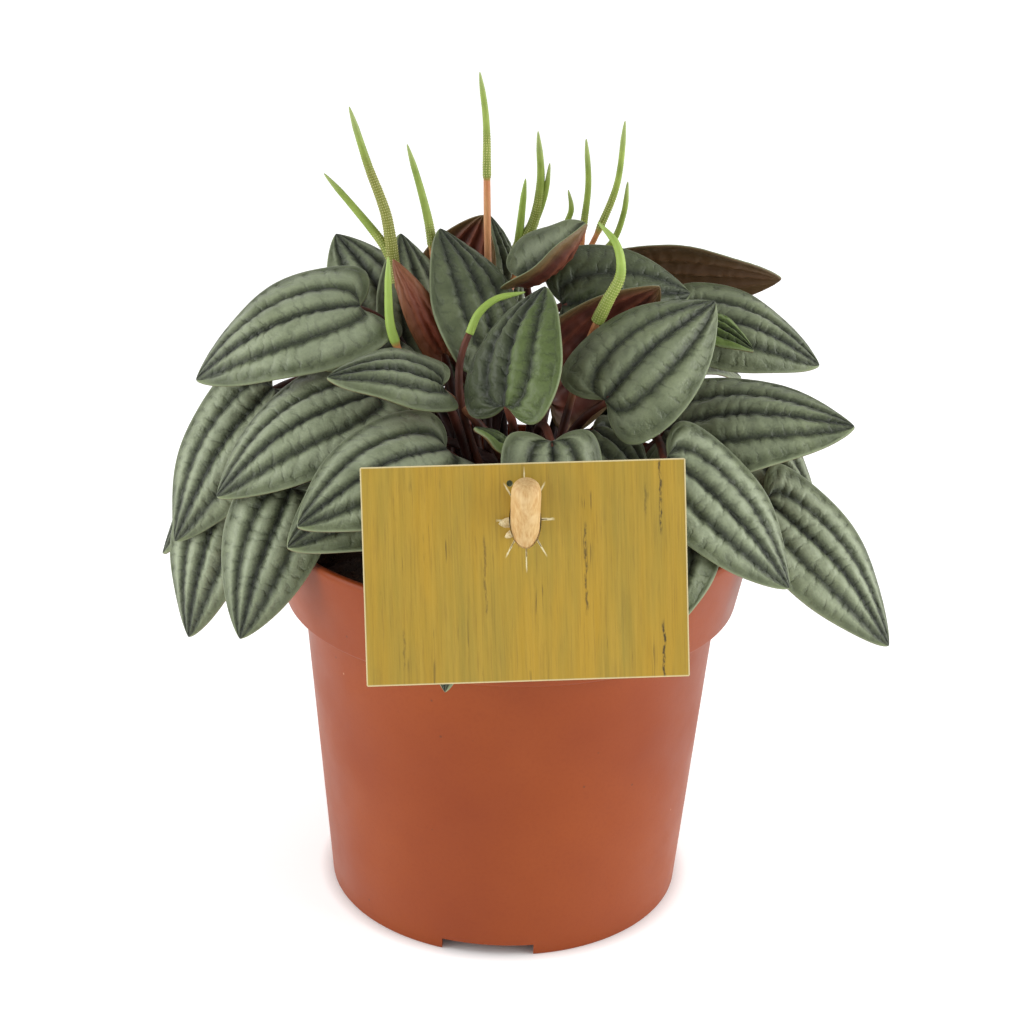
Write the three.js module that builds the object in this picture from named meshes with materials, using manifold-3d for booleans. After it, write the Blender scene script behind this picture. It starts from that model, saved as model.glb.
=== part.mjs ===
// A peperomia in a plastic nursery pot, with its label card on a wooden stake.
// Millimetres, +Z up, origin on the pot's axis at the level it stands on, front towards -Y.
import * as THREE from 'three';
import { mergeVertices } from 'three/addons/utils/BufferGeometryUtils.js';
import Module from 'manifold-3d';

const wasm = await Module();
wasm.setup();

// Driving dimensions
const fitGap = 0.3; // air left between pieces that touch
const pot = {
  height: 100, rimRadius: 60, lipRadius: 57.6, bandHeight: 21.8, bandFoot: 55.6,
  neckRadius: 51.2, baseRadius: 44.4, wall: 1.6, floorHeight: 4.2, floorThick: 2, sides: 40,
};
const footNotch = { count: 3, height: 3, halfWidth: 11.2, turn: -4.4 };
const drainHole = { count: 6, radius: 3.5, ring: 27 };
const soil = {
  level: 89, mound: 2.5, rough: 0.7, top: 94, holeFoot: 12.5, holeMouth: 20, rings: 5, sides: 28,
};
const crown = { radius: 16, foot: 80, top: 98 };
const stalk = { rootRadius: 1.6, endRadius: 1, rootRing: 11, sides: 5, steps: 4 };
const card = {
  width: 70.6, height: 47.8, thick: 0.6, lean: 18, turn: 2.3, yaw: -2.5, centre: [3.2, -61.9, 110.1],
};
const cardSlot = { across: 0.2, up: 11.5, halfWide: 4.1, halfHigh: 7 };
const cordHole = { across: -3, up: 19.5, radius: 0.9 };
const stake = { radius: 3.3, lean: 17, above: 10.6, foot: 40, sides: 16 };
const blade = {
  thick: 0.9, lobe: 0.2, lobeAt: 0.12, dome: 0.34, ridge: 0.55, vein: 0.45, wave: 0.5, arch: 0.13,
  rows: [0.07, 0.2, 0.4, 0.62, 0.84], columns: [-1, -0.7, -0.45, -0.22, 0, 0.22, 0.45, 0.7, 1],
};
const spike = { sides: 6, steps: 7, radius: 1.55, tipRadius: 0.7 };
const settling = { rounds: 120, step: 0.8, room: blade.thick + 2.5 * fitGap, frontGive: 0.25 };
const seed = 7;

// The leaves that show from the front: base and tip of each blade, its width, its turn about its length
const frontLeaves = [
  { base: [-28, 9, 141], tip: [-45, 25, 162], width: 25, roll: -20 },
  { base: [-21, 4, 136], tip: [-28, 19, 165], width: 24, roll: 10 },
  { base: [-5, -11, 143.5], tip: [-19, 6, 168], width: 25, roll: 0 },
  { base: [-19, 32, 141.6], tip: [-9, 28, 166], width: 20, roll: -75 },
  { base: [-2, 36, 137.3], tip: [-7.6, 39, 162.6], width: 14, roll: 0 },
  { base: [0.8, 4, 155.9], tip: [15.3, 1, 171.2], width: 22, roll: 12, arch: -0.13, dome: -0.6 },
  { base: [10.2, 1, 150.6], tip: [40.8, 5, 153.1], width: 29, roll: 58 },
  { base: [28, 32, 152.2], tip: [65, 27, 152.2], width: 22, roll: -60, arch: 0.03 },
  { base: [7, -8, 132], tip: [32, -8, 160], width: 27, roll: -75 },
  { base: [-2.6, -37, 139.4], tip: [5.9, -21, 162.7], width: 26, roll: -14, arch: 0.17 },
  { base: [20, -31, 139.4], tip: [45, -15, 158.4], width: 29, roll: 35 },
  { base: [40, 3, 149.5], tip: [56, -6, 145], width: 11, roll: 20 },
  { base: [40, 12, 147], tip: [73, 5, 137], width: 26, roll: 30 },
  { base: [35, -17, 128], tip: [78, -25, 133], width: 31, roll: 30 },
  { base: [34, -38, 128], tip: [62, -50, 102], width: 27, roll: 30 },
  { base: [60, -14.5, 109.5], tip: [90.7, -25, 77], width: 26, roll: 35 },
  { base: [55, 2, 122], tip: [74, -4, 99], width: 20, roll: 30 },
  { base: [38, -43, 115], tip: [32, -62, 94], width: 21, roll: 0 },
  { base: [-37, -5, 152], tip: [-75, -12, 135], width: 31, roll: -30, arch: 0.17 },
  { base: [-33, -17, 133], tip: [-68, -33, 113], width: 30, roll: -25, arch: 0.16 },
  { base: [-58, -2, 130], tip: [-81, -13, 94], width: 28, roll: -35 },
  { base: [-67.5, -6, 108.5], tip: [-78.5, -15, 69.5], width: 24, roll: -25 },
  { base: [-51, -31, 116], tip: [-62, -43, 83], width: 24, roll: -30 },
  { base: [-15, -34, 127], tip: [-47, -55, 116], width: 31, roll: -25, arch: 0.16 },
  { base: [-19, -29, 120], tip: [-50, -52, 111], width: 31, roll: -25, arch: 0.16 },
  { base: [-16.6, -27, 140.5], tip: [-42.1, -35, 144.5], width: 18, roll: -28, arch: 0.16 },
  { base: [-29, -1, 139], tip: [-53, -10, 135.5], width: 20, roll: -20 },
  { base: [-63, 11, 112], tip: [-88.5, 10, 81], width: 20, roll: -20 },
  { base: [0, -36, 128], tip: [-9, -36, 134], width: 9, roll: 0 },
  { base: [8.3, -43, 133.7], tip: [9.8, -52, 112.5], width: 23, roll: 0, arch: 0.12 },
  { base: [18, -27, 131], tip: [31, -35, 119], width: 19, roll: 10 },
  { base: [-18, -40, 112], tip: [-28, -46, 96], width: 16, roll: 0 },
  { base: [-9, -50, 112], tip: [-14, -65, 82], width: 17, roll: 0, arch: 0.2 },
  { base: [-17, -8, 142], tip: [-29, -6, 164], width: 9, roll: -70 },
  { base: [-32, 20, 137], tip: [-60, 44, 124], width: 29, roll: -5, arch: 0.16 },
];
// The rings of leaves behind, placed by a rule
const backRings = [
  {
    count: 7, from: 31, to: 169, width: 30, arch: 0.2, stagger: 5,
    baseReach: [38, 32], baseLevel: 121, tipReach: [84, 72], tipLevel: 97,
  },
  {
    count: 4, from: 26, to: 101, width: 27, arch: 0.16, stagger: 10,
    baseReach: [24, 22], baseLevel: 137, tipReach: [62, 57], tipLevel: 127,
  },
];

// The flower spikes: each is a list of points from tip to foot; spikes of one entry meet at their feet
const spikes = [
  [
    [[-40, 3, 197], [-35.7, 3, 183.5], [-31.4, 2, 172], [-29.5, 2, 160], [-28.5, 1, 156]],
    [[-46, 4, 181], [-39, 4, 173], [-32, 3, 164.5], [-29.5, 2, 160]],
  ],
  [[[-27, 10, 187], [-23.6, 8, 176.6], [-21.5, 8, 168], [-20, 7, 158]]],
  [[[-10.5, 20, 202.4], [-8.8, 20, 191], [-8.3, 20, 176.5]]],
  [
    [[3.7, 27, 187.1], [4.7, 29, 173.9], [3.1, 31, 163], [-0.4, 32.5, 156.4], [-0.6, 33, 151.6]],
    [[1, 28, 175.1], [0.3, 30, 166.3], [-0.4, 32.5, 156.4]],
    [[6.8, 28, 179.1], [5.8, 29.5, 170.3], [3.1, 31, 162.1], [-0.4, 32.5, 156.4]],
  ],
  [
    [[15.3, 25, 186], [16.3, 27, 174.3], [15.5, 28.5, 162.5], [15.2, 30, 152.6], [15, 30.5, 148.6]],
    [[24.5, 25, 190.6], [23.3, 26.5, 174.9], [19.6, 28.5, 163.2], [15.2, 30, 152.6]],
    [[25.9, 27, 175.3], [25.3, 28, 167.2], [22.6, 29, 159.2], [15.2, 30, 152.6]],
    [[11.5, 27.5, 172.7], [12.4, 28, 167.8], [11.2, 29, 162.1], [15.2, 30, 152.6]],
  ],
  [[[17.5, -14, 176], [22, -16, 171], [23, -17, 164.5], [20.4, -17, 158.5], [18.2, -16, 153]]],
  [[[-30, -12, 166], [-29.9, -13, 158], [-29.3, -14, 150], [-27.4, -14, 144]]],
  [[[1.5, -14, 159], [-5.3, -15.5, 157.5], [-9, -17, 154.5], [-11, -18, 150]]],
];

const vec = (p) => new THREE.Vector3(...p);

// A geometry with nothing but its points and faces
function stripped(geometry) {
  geometry.deleteAttribute('normal');
  geometry.deleteAttribute('uv');
  return geometry;
}

// A closed three.js geometry as a solid, and back
function toSolid(geometry) {
  const merged = mergeVertices(stripped(geometry), 1e-4);
  return new wasm.Manifold(new wasm.Mesh({
    numProp: 3,
    vertProperties: new Float32Array(merged.attributes.position.array),
    triVerts: new Uint32Array(merged.index.array),
  }));
}

function toGeometry(solid) {
  const { vertProperties, triVerts } = solid.getMesh();
  const geometry = new THREE.BufferGeometry();
  geometry.setAttribute('position', new THREE.BufferAttribute(new Float32Array(vertProperties), 3));
  geometry.setIndex(new THREE.BufferAttribute(new Uint32Array(triVerts), 1));
  geometry.computeVertexNormals();
  return geometry;
}

// A turned solid about +Z from points [radius, height]
function lathe(points, sides) {
  const profile = points.map(([radius, height]) => new THREE.Vector2(radius, height));
  return new THREE.LatheGeometry(profile, sides).rotateX(Math.PI / 2);
}

function potSolid() {
  const p = pot;
  const step = p.height - p.bandHeight;
  const inner = (radius) => radius - p.wall;
  const outside = [
    [0, p.floorHeight], [inner(p.baseRadius), p.floorHeight], [inner(p.baseRadius) + 0.1, 0],
    [p.baseRadius, 0], [p.neckRadius, step], [p.bandFoot, step + 0.6],
    [p.rimRadius - 0.4, p.height - 1], [p.rimRadius - 1, p.height],
  ];
  const inside = [
    [p.lipRadius, p.height], [inner(p.bandFoot), step + 2.5], [inner(p.neckRadius), step - 1],
    [inner(p.baseRadius) + 0.3, p.floorHeight + p.floorThick], [0, p.floorHeight + p.floorThick],
  ];
  const cuts = [];
  for (let i = 0; i < footNotch.count; i++) {
    const turn = THREE.MathUtils.degToRad(footNotch.turn + (i * 360) / footNotch.count);
    const notch = new THREE.BoxGeometry(2 * footNotch.halfWidth, 20, 2 * footNotch.height);
    cuts.push(notch.translate(0, -p.baseRadius, 0).rotateZ(turn));
  }
  for (let i = 0; i < drainHole.count; i++) {
    const turn = ((i + 0.5) * 2 * Math.PI) / drainHole.count;
    const hole = new THREE.CylinderGeometry(drainHole.radius, drainHole.radius, 20, 10).rotateX(Math.PI / 2);
    cuts.push(hole.translate(drainHole.ring, 0, 0).rotateZ(turn));
  }
  const wall = toSolid(lathe([...outside, ...inside], p.sides));
  return cuts.reduce((solid, cut) => solid.subtract(toSolid(cut)), wall);
}

// Soil from the pot's floor to just under the rim, mounded and crumbly on top
function soilSolid() {
  const play = pot.wall + 2 * fitGap;
  const step = pot.height - pot.bandHeight;
  const wallAt = (z) => THREE.MathUtils.lerp(pot.baseRadius, pot.neckRadius, z / step) - play;
  const foot = pot.floorHeight + pot.floorThick + fitGap;
  const edge = pot.bandFoot - play;
  const neck = soil.level - 13;
  const points = [[0, foot], [wallAt(foot) - 1, foot], [wallAt(neck), neck]];
  points.push([edge - 2, soil.level - 8], [edge, soil.level - 2]);
  for (let i = 0; i <= soil.rings; i++) {
    const share = 1 - i / soil.rings;
    points.push([share * (edge - 1), soil.level + soil.mound * (1 - share * share)]);
  }
  const body = mergeVertices(stripped(lathe(points, soil.sides)), 1e-3);
  const position = body.attributes.position;
  for (let i = 0; i < position.count; i++) {
    const [x, y, z] = [position.getX(i), position.getY(i), position.getZ(i)];
    const lump = Math.sin(x * 0.31 + 1.3 * Math.sin(y * 0.23)) + Math.cos(y * 0.37 - x * 0.17);
    if (z > soil.level - 1) position.setZ(i, z + soil.rough * lump);
  }
  const deep = soil.level + 8 - crown.foot;
  const crownHole = new THREE.CylinderGeometry(soil.holeMouth, soil.holeFoot, deep, 18).rotateX(Math.PI / 2);
  crownHole.translate(0, 0, crown.foot - fitGap + deep / 2);
  return toSolid(body).subtract(toSolid(crownHole)).subtract(stakeSolid(stake.radius + fitGap + 0.1, 1));
}

// The stake's round stick, thicker by the hole's play when it cuts its own hole
function stakeSolid(radius, extra) {
  const lean = THREE.MathUtils.degToRad(stake.lean);
  const through = cardPoint(cardSlot.across, cardSlot.up, 0);
  const along = new THREE.Vector3(0, -Math.sin(lean), Math.cos(lean));
  const length = stake.above + (through.z - stake.foot) / Math.cos(lean) + extra;
  const round = [[0, 0], [radius * 0.35, 0], [radius, radius * 1.6], [radius, length - radius * 0.7]];
  const end = [[radius * 0.8, length - radius * 0.25], [radius * 0.4, length], [0, length]];
  const stick = lathe([...round, ...end], stake.sides);
  stick.rotateX(lean);
  const foot = through.clone().addScaledVector(along, stake.above - length + extra);
  return toSolid(stick.translate(foot.x, foot.y, foot.z));
}

// A point of the card's plane, across and up from its centre, and out of its face
function cardPoint(across, up, out) {
  const toRadians = THREE.MathUtils.degToRad;
  const turned = new THREE.Vector3(across, -out, up);
  turned.applyAxisAngle(new THREE.Vector3(0, 1, 0), -toRadians(card.turn));
  turned.applyAxisAngle(new THREE.Vector3(1, 0, 0), -toRadians(card.lean));
  turned.applyAxisAngle(new THREE.Vector3(0, 0, 1), -toRadians(card.yaw));
  return turned.add(vec(card.centre));
}

function cardGeometry() {
  const shape = new THREE.Shape();
  const [w, h] = [card.width / 2, card.height / 2];
  shape.moveTo(-w, -h).lineTo(w, -h).lineTo(w, h).lineTo(-w, h).lineTo(-w, -h);
  const slot = new THREE.Path();
  slot.absellipse(cardSlot.across, cardSlot.up, cardSlot.halfWide, cardSlot.halfHigh, 0, 2 * Math.PI, true);
  const cord = new THREE.Path();
  cord.absarc(cordHole.across, cordHole.up, cordHole.radius, 0, 2 * Math.PI, true);
  shape.holes.push(slot, cord);
  const options = { depth: card.thick, bevelEnabled: false, curveSegments: 8 };
  const geometry = new THREE.ExtrudeGeometry(shape, options);
  const position = geometry.attributes.position;
  for (let i = 0; i < position.count; i++) {
    const point = cardPoint(position.getX(i), position.getY(i), position.getZ(i) - card.thick);
    position.setXYZ(i, point.x, point.y, point.z);
  }
  geometry.computeVertexNormals();
  return geometry;
}

// How wide the blade is at a share t of its length, as a share of its full half width
function outline(t) {
  return Math.sin(Math.PI * t ** 0.62) ** 0.74;
}

// The frame of a leaf: along its length, across it, and out of its upper face
function leafFrame(leaf) {
  const along = vec(leaf.tip).sub(vec(leaf.base));
  const length = along.length();
  along.normalize();
  const out = new THREE.Vector3(0, 0, 1).addScaledVector(along, -along.z).normalize();
  out.applyAxisAngle(along, THREE.MathUtils.degToRad(leaf.roll));
  const across = out.clone().cross(along);
  return { origin: vec(leaf.base).add(leaf.shift), along, across, out, length };
}

// Height of the blade's upper face at share t along it and share s across it, from -1 to 1
function bladeHeight(leaf, length, t, s) {
  const full = outline(t);
  const half = leaf.width / 2;
  const arch = length * (leaf.arch ?? blade.arch) * Math.sin(Math.PI * t ** 0.9);
  const dome = -(leaf.dome ?? blade.dome) * half * full * Math.abs(s) ** 1.8;
  const veins = -blade.ridge * full * Math.cos((2 * Math.PI * s) / blade.vein);
  const wave = blade.wave * full * s * s * Math.sin(11 * t + 2.3 * s + leaf.phase);
  return arch + dome + veins + wave;
}

// How far the blade's two lobes reach back beside the stalk, as a share of its length
function lobeShare(t, s) {
  return blade.lobe * Math.abs(s) ** 1.5 * (t / blade.lobeAt) * Math.exp(1 - t / blade.lobeAt);
}

// A point of the blade in its own frame
function bladeLocal(leaf, length, t, s) {
  return [length * (t - lobeShare(t, s)), (s * leaf.width * outline(t)) / 2, bladeHeight(leaf, length, t, s)];
}

function bladePoint(leaf, frame, t, s, depth) {
  const [x, y, z] = bladeLocal(leaf, frame.length, t, s);
  const point = frame.origin.clone().addScaledVector(frame.along, x);
  return point.addScaledVector(frame.across, y).addScaledVector(frame.out, z - depth);
}

// The points of a blade's upper face, from base to tip
function bladeSkin(leaf, frame) {
  const shares = [0, ...blade.rows, 1];
  return shares.flatMap((t) => blade.columns.map((s) => bladePoint(leaf, frame, t, s, 0)));
}

// One blade as a closed solid: the upper and lower faces are split alike, with a thin edge between
function bladeGeometry(leaf) {
  const frame = leafFrame(leaf);
  const { rows, columns, thick } = blade;
  const points = [];
  const faces = [];
  for (const depth of [0, thick]) {
    points.push(bladePoint(leaf, frame, 0, 0, depth));
    for (const t of rows) for (const s of columns) points.push(bladePoint(leaf, frame, t, s, depth));
    points.push(bladePoint(leaf, frame, 1, 0, depth));
  }
  const under = points.length / 2;
  const at = (row, column) => 1 + row * columns.length + column;
  const top = under - 1;
  const last = rows.length - 1;
  const both = (a, b, c) => faces.push(a, b, c, under + a, under + c, under + b);
  for (let c = 0; c < columns.length - 1; c++) {
    both(0, at(0, c), at(0, c + 1));
    both(top, at(last, c + 1), at(last, c));
    for (let r = 0; r < last; r++) {
      const inward = c < columns.length / 2 - 1;
      if (inward) {
        both(at(r, c), at(r + 1, c), at(r + 1, c + 1));
        both(at(r, c), at(r + 1, c + 1), at(r, c + 1));
      } else {
        both(at(r, c), at(r + 1, c), at(r, c + 1));
        both(at(r + 1, c), at(r + 1, c + 1), at(r, c + 1));
      }
    }
  }
  const right = columns.length - 1;
  const rim = [0, ...rows.map((t, r) => at(r, 0)), top, ...rows.map((t, r) => at(last - r, right))];
  rim.forEach((a, i) => {
    const b = rim[(i + 1) % rim.length];
    faces.push(b, a, under + a, b, under + a, under + b);
  });
  const geometry = new THREE.BufferGeometry();
  const places = new Float32Array(points.flatMap((p) => p.toArray()));
  geometry.setAttribute('position', new THREE.BufferAttribute(places, 3));
  geometry.setIndex(faces);
  geometry.computeVertexNormals();
  return geometry;
}

// A round rod through points, thinner towards the far end, closed at both ends
function rodGeometry(points, radii, sides, steps) {
  const curve = new THREE.CatmullRomCurve3(points, false, 'centripetal');
  const round = Array.from({ length: sides }, (unused, i) => {
    const turn = (2 * Math.PI * i) / sides;
    return new THREE.Vector2(Math.cos(turn), Math.sin(turn));
  });
  const geometry = new THREE.ExtrudeGeometry(new THREE.Shape(round), { extrudePath: curve, steps });
  const position = geometry.attributes.position;
  const centres = curve.getSpacedPoints(steps);
  const point = new THREE.Vector3();
  for (let i = 0; i < position.count; i++) {
    point.fromBufferAttribute(position, i);
    const distances = centres.map((centre) => centre.distanceTo(point));
    const nearest = distances.indexOf(Math.min(...distances));
    point.sub(centres[nearest]).multiplyScalar(radii(nearest / steps)).add(centres[nearest]);
    position.setXYZ(i, point.x, point.y, point.z);
  }
  return geometry;
}

// A solid without the pockets closed in where its parts run together
function withoutPockets(solid) {
  return solid.decompose().reduce((a, b) => (a.volume() > b.volume() ? a : b));
}

function spikeSolid(lines) {
  const swell = (share) => spike.tipRadius + (spike.radius - spike.tipRadius) * Math.min(1, share * 1.6);
  const rods = lines.map((line) => toSolid(rodGeometry(line.map(vec), swell, spike.sides, spike.steps)));
  return rods.reduce((a, b) => a.add(b));
}

const taper = (share) => stalk.rootRadius + (stalk.endRadius - stalk.rootRadius) * share;

// The line of a stalk from the crown to its end: out of the crown, up, and over
function stalkLine(end, direction, turn, ring, bulge, approach) {
  const around = Math.atan2(end.y, end.x) + turn;
  const level = crown.top - 4 - ring * 0.3;
  const root = new THREE.Vector3(ring * Math.cos(around), ring * Math.sin(around), level);
  const reach = root.distanceTo(end);
  const outward = new THREE.Vector3(Math.cos(around) * 0.4, Math.sin(around) * 0.4, 0.92);
  const rising = root.clone().addScaledVector(outward, reach * bulge);
  const arriving = end.clone().addScaledVector(direction, -reach * approach);
  return new THREE.CubicBezierCurve3(root, rising, arriving, end);
}

// Whether a point comes too near the soil or the pot's rim
function inPot(point, room) {
  const flat = Math.hypot(point.x, point.y);
  if (flat < soil.holeFoot + 0.5 || flat > pot.rimRadius + room) return false;
  return point.z < room + (flat > pot.lipRadius - room ? pot.height : soil.top);
}

// How deep a stalk's line runs into the room of what it has to pass, summed over points along it
function tightness(corners, own) {
  const steps = corners.length - 1;
  const end = corners[steps];
  let sum = 0;
  for (let i = 2; i < 5 * steps; i++) {
    const segment = Math.floor(i / 5);
    const point = corners[segment].clone().lerp(corners[segment + 1], (i % 5) / 5);
    const room = taper(i / (5 * steps)) + 5 * fitGap;
    if (inPot(point, room)) sum += 2;
    for (const rod of spikeLines) {
      const nearest = rod === own ? Infinity : Math.min(...rod.map((p) => p.distanceTo(point)));
      sum += Math.max(0, room + spike.radius - nearest);
    }
    leaves.forEach((leaf, j) => {
      if (leaf === own && point.distanceTo(end) < 6) return;
      const height = above(point, leaf, frames[j], room);
      if (height !== null) sum += Math.max(0, Math.min(room - height, height + blade.thick + room));
    });
  }
  return sum;
}

// A stalk takes the free way nearest to the straight one
function stalkSolid(end, direction, side, own) {
  const ring = Math.min(stalk.rootRing, 2 + Math.hypot(end.x, end.y) * 0.22);
  let best = { cost: Infinity };
  const attempt = (lean, turn, bulge, share, approach) => {
    if (best.cost === 0) return;
    const arrival = direction.clone().addScaledVector(side, lean);
    const corners = stalkLine(end, arrival, turn, ring * share, bulge, approach).getSpacedPoints(stalk.steps);
    const cost = tightness(corners, own);
    if (cost < best.cost) best = { corners, cost };
  };
  for (const lean of [0, 0.5, -0.5, 1, -1]) {
    for (const turn of [0, 0.25, -0.25, 0.5, -0.5, 0.8, -0.8, 1.2, -1.2, 1.6, -1.6, 2, -2]) {
      for (const bulge of [0.42, 0.3, 0.55, 0.15, 0.7, 0.85]) {
        for (const share of [1, 0.6, 1.2, 0.2]) {
          for (const approach of [0.28, 0.15, 0.45]) attempt(lean, turn, bulge, share, approach);
        }
      }
    }
  }
  return toSolid(rodGeometry(best.corners, taper, stalk.sides, stalk.steps));
}

function leafStalk(leaf) {
  const { origin, along, across, out } = leafFrame(leaf);
  const direction = out.clone().multiplyScalar(0.8).addScaledVector(along, 0.6);
  const drop = blade.thick + fitGap + 0.6 * stalk.endRadius;
  return stalkSolid(origin.addScaledVector(out, -drop), direction, across, leaf);
}

function spikeStalk(lines, i) {
  const line = lines[0];
  const foot = vec(line[line.length - 1]);
  const direction = vec(line[line.length - 2]).sub(foot).normalize();
  const side = new THREE.Vector3(direction.y, -direction.x, 0).setLength(0.4);
  return stalkSolid(foot.addScaledVector(direction, -fitGap - 0.6), direction, side, spikeLines[i]);
}

function crownSolid() {
  const r = crown.radius;
  const { foot, top } = crown;
  const side = [[r * 0.7, foot], [r * 0.95, foot + 7], [r, top - 6], [r * 0.6, top - 1.5]];
  return toSolid(lathe([[0, foot], ...side, [0, top]], 12));
}

// A repeatable draw between -1 and 1
function makeDraw(start) {
  let state = start;
  return () => {
    state = (state * 16807) % 2147483647;
    return (2 * state) / 2147483647 - 1;
  };
}

function backLeaves() {
  const draw = makeDraw(seed);
  return backRings.flatMap((ring) => Array.from({ length: ring.count }, (unused, i) => {
    const share = i / (ring.count - 1);
    const turn = THREE.MathUtils.degToRad(THREE.MathUtils.lerp(ring.from, ring.to, share) + 3 * draw());
    const place = (reach, level) => [reach[0] * Math.cos(turn), reach[1] * Math.sin(turn), level];
    const lower = i % 2 ? ring.stagger : 0;
    const base = place(ring.baseReach, ring.baseLevel - lower + 2 * draw());
    const tip = place(ring.tipReach, ring.tipLevel - lower + 3 * draw());
    return { base, tip, width: ring.width + 2 * draw(), roll: 8 * draw(), arch: ring.arch };
  }));
}

const leaves = [...frontLeaves, ...backLeaves()];
leaves.forEach((leaf, i) => {
  leaf.shift = new THREE.Vector3();
  leaf.phase = 1.7 * i;
  leaf.give = i < frontLeaves.length ? settling.frontGive : 1;
});

// How far a point is above a blade's upper face, or null where it is beside the blade
function above(point, leaf, frame, margin) {
  const offset = point.clone().sub(frame.origin);
  const x = offset.dot(frame.along) / frame.length;
  const y = offset.dot(frame.across);
  if (x < -0.15 || x > 1 || Math.abs(y) > leaf.width / 2 + margin) return null;
  let [t, s] = [Math.max(x, 0.05), 0];
  for (let i = 0; i < 6; i++) {
    s = THREE.MathUtils.clamp(y / ((leaf.width / 2) * outline(t)), -1, 1);
    t = THREE.MathUtils.clamp((t + x + lobeShare(t, s)) / 2, 0.02, 1);
  }
  if (Math.abs(y) > (leaf.width / 2) * outline(t) + margin) return null;
  if ((t - lobeShare(t, s) - x) * frame.length > margin) return null;
  return offset.dot(frame.out) - bladeHeight(leaf, frame.length, t, s);
}

// Points along every flower spike, for what has to stay clear of them
const spikeLines = spikes.map((lines) => lines.flatMap((line) => {
  const curve = new THREE.CatmullRomCurve3(line.map(vec));
  return curve.getSpacedPoints(12);
}));

// A blade that would cut the pot's rim or the soil is lifted off it
function liftOffPot(leaf, skin) {
  const low = skin.filter((p) => inPot(p, blade.thick + fitGap));
  const lift = Math.max(...low.map((p) => pot.height + settling.room - p.z));
  if (lift > 0 && lift < 6) leaf.shift.z += lift * 0.5;
}

// A blade that would cut a flower spike is moved off it along its own face
function moveOffSpikes(leaf, frame) {
  for (const rod of spikeLines) {
    const heights = rod.map((p) => above(p, leaf, frame, spike.radius));
    const near = heights.filter((h) => h !== null && Math.abs(h) < 12);
    const side = near.reduce((sum, h) => sum + h + blade.thick / 2, 0) >= 0 ? 1 : -1;
    const need = spike.radius + fitGap + (side > 0 ? 0 : blade.thick);
    const short = need - Math.min(...near.map((h) => h * side));
    if (short > 0.01) leaf.shift.addScaledVector(frame.out, -side * Math.min(short, 2) * 0.5);
  }
}

// Two blades that would cross are moved apart along the lower one's face; gives how short of room they were
function moveApart(leaf, skin, other, frame) {
  const heights = skin.map((p) => above(p, other, frame, 0.8)).filter((h) => h !== null && Math.abs(h) < 25);
  const side = heights.reduce((sum, h) => sum + h, 0) >= 0 ? 1 : -1;
  const short = settling.room - Math.min(...heights.map((h) => h * side));
  if (short <= 0.01) return 0;
  const push = (settling.step * Math.min(short, 2) * side) / (leaf.give + other.give);
  leaf.shift.addScaledVector(frame.out, push * leaf.give);
  other.shift.addScaledVector(frame.out, -push * other.give);
  return short;
}

function settle() {
  for (let round = 0; round < settling.rounds; round++) {
    const frames = leaves.map(leafFrame);
    const skins = leaves.map((leaf, i) => bladeSkin(leaf, frames[i]));
    let worst = 0;
    leaves.forEach((leaf, i) => {
      liftOffPot(leaf, skins[i]);
      moveOffSpikes(leaf, frames[i]);
      leaves.forEach((other, j) => {
        const apart = frames[i].origin.distanceTo(frames[j].origin);
        if (i !== j && apart < 70) worst = Math.max(worst, moveApart(leaf, skins[i], other, frames[j]));
      });
    });
    if (worst < 0.05) break;
  }
}
settle();
const frames = leaves.map(leafFrame);

const colours = {
  pot: [0xa85a36, 0.5], soil: [0x2c211a, 0.95], stalks: [0x8a3b26, 0.45], leaf: [0x6b7d68, 0.45],
  spike: [0x9ab84e, 0.5], card: [0xc39a3a, 0.6], stake: [0xe3c896, 0.7],
};

const plant = new THREE.Group();
function addPiece(name, geometry, finish) {
  const [color, roughness] = colours[finish];
  const mesh = new THREE.Mesh(geometry, new THREE.MeshStandardMaterial({ color, roughness, metalness: 0 }));
  mesh.name = name;
  plant.add(mesh);
}

const twoDigits = (i) => String(i + 1).padStart(2, '0');
const stalkParts = [crownSolid(), ...leaves.map(leafStalk), ...spikes.map(spikeStalk)];
addPiece('pot', toGeometry(potSolid()), 'pot');
addPiece('soil', toGeometry(soilSolid()), 'soil');
addPiece('crown_and_stalks', toGeometry(withoutPockets(stalkParts.reduce((a, b) => a.add(b)))), 'stalks');
leaves.forEach((leaf, i) => addPiece(`leaf_${twoDigits(i)}`, bladeGeometry(leaf), 'leaf'));
spikes.forEach((lines, i) => addPiece(`flower_spike_${i + 1}`, toGeometry(spikeSolid(lines)), 'spike'));
addPiece('label_card', cardGeometry(), 'card');
addPiece('label_stake', toGeometry(stakeSolid(stake.radius, 0)), 'stake');

export default plant;
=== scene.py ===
import math

import bpy
import numpy as np
from mathutils import Matrix, Vector, kdtree, noise


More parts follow.
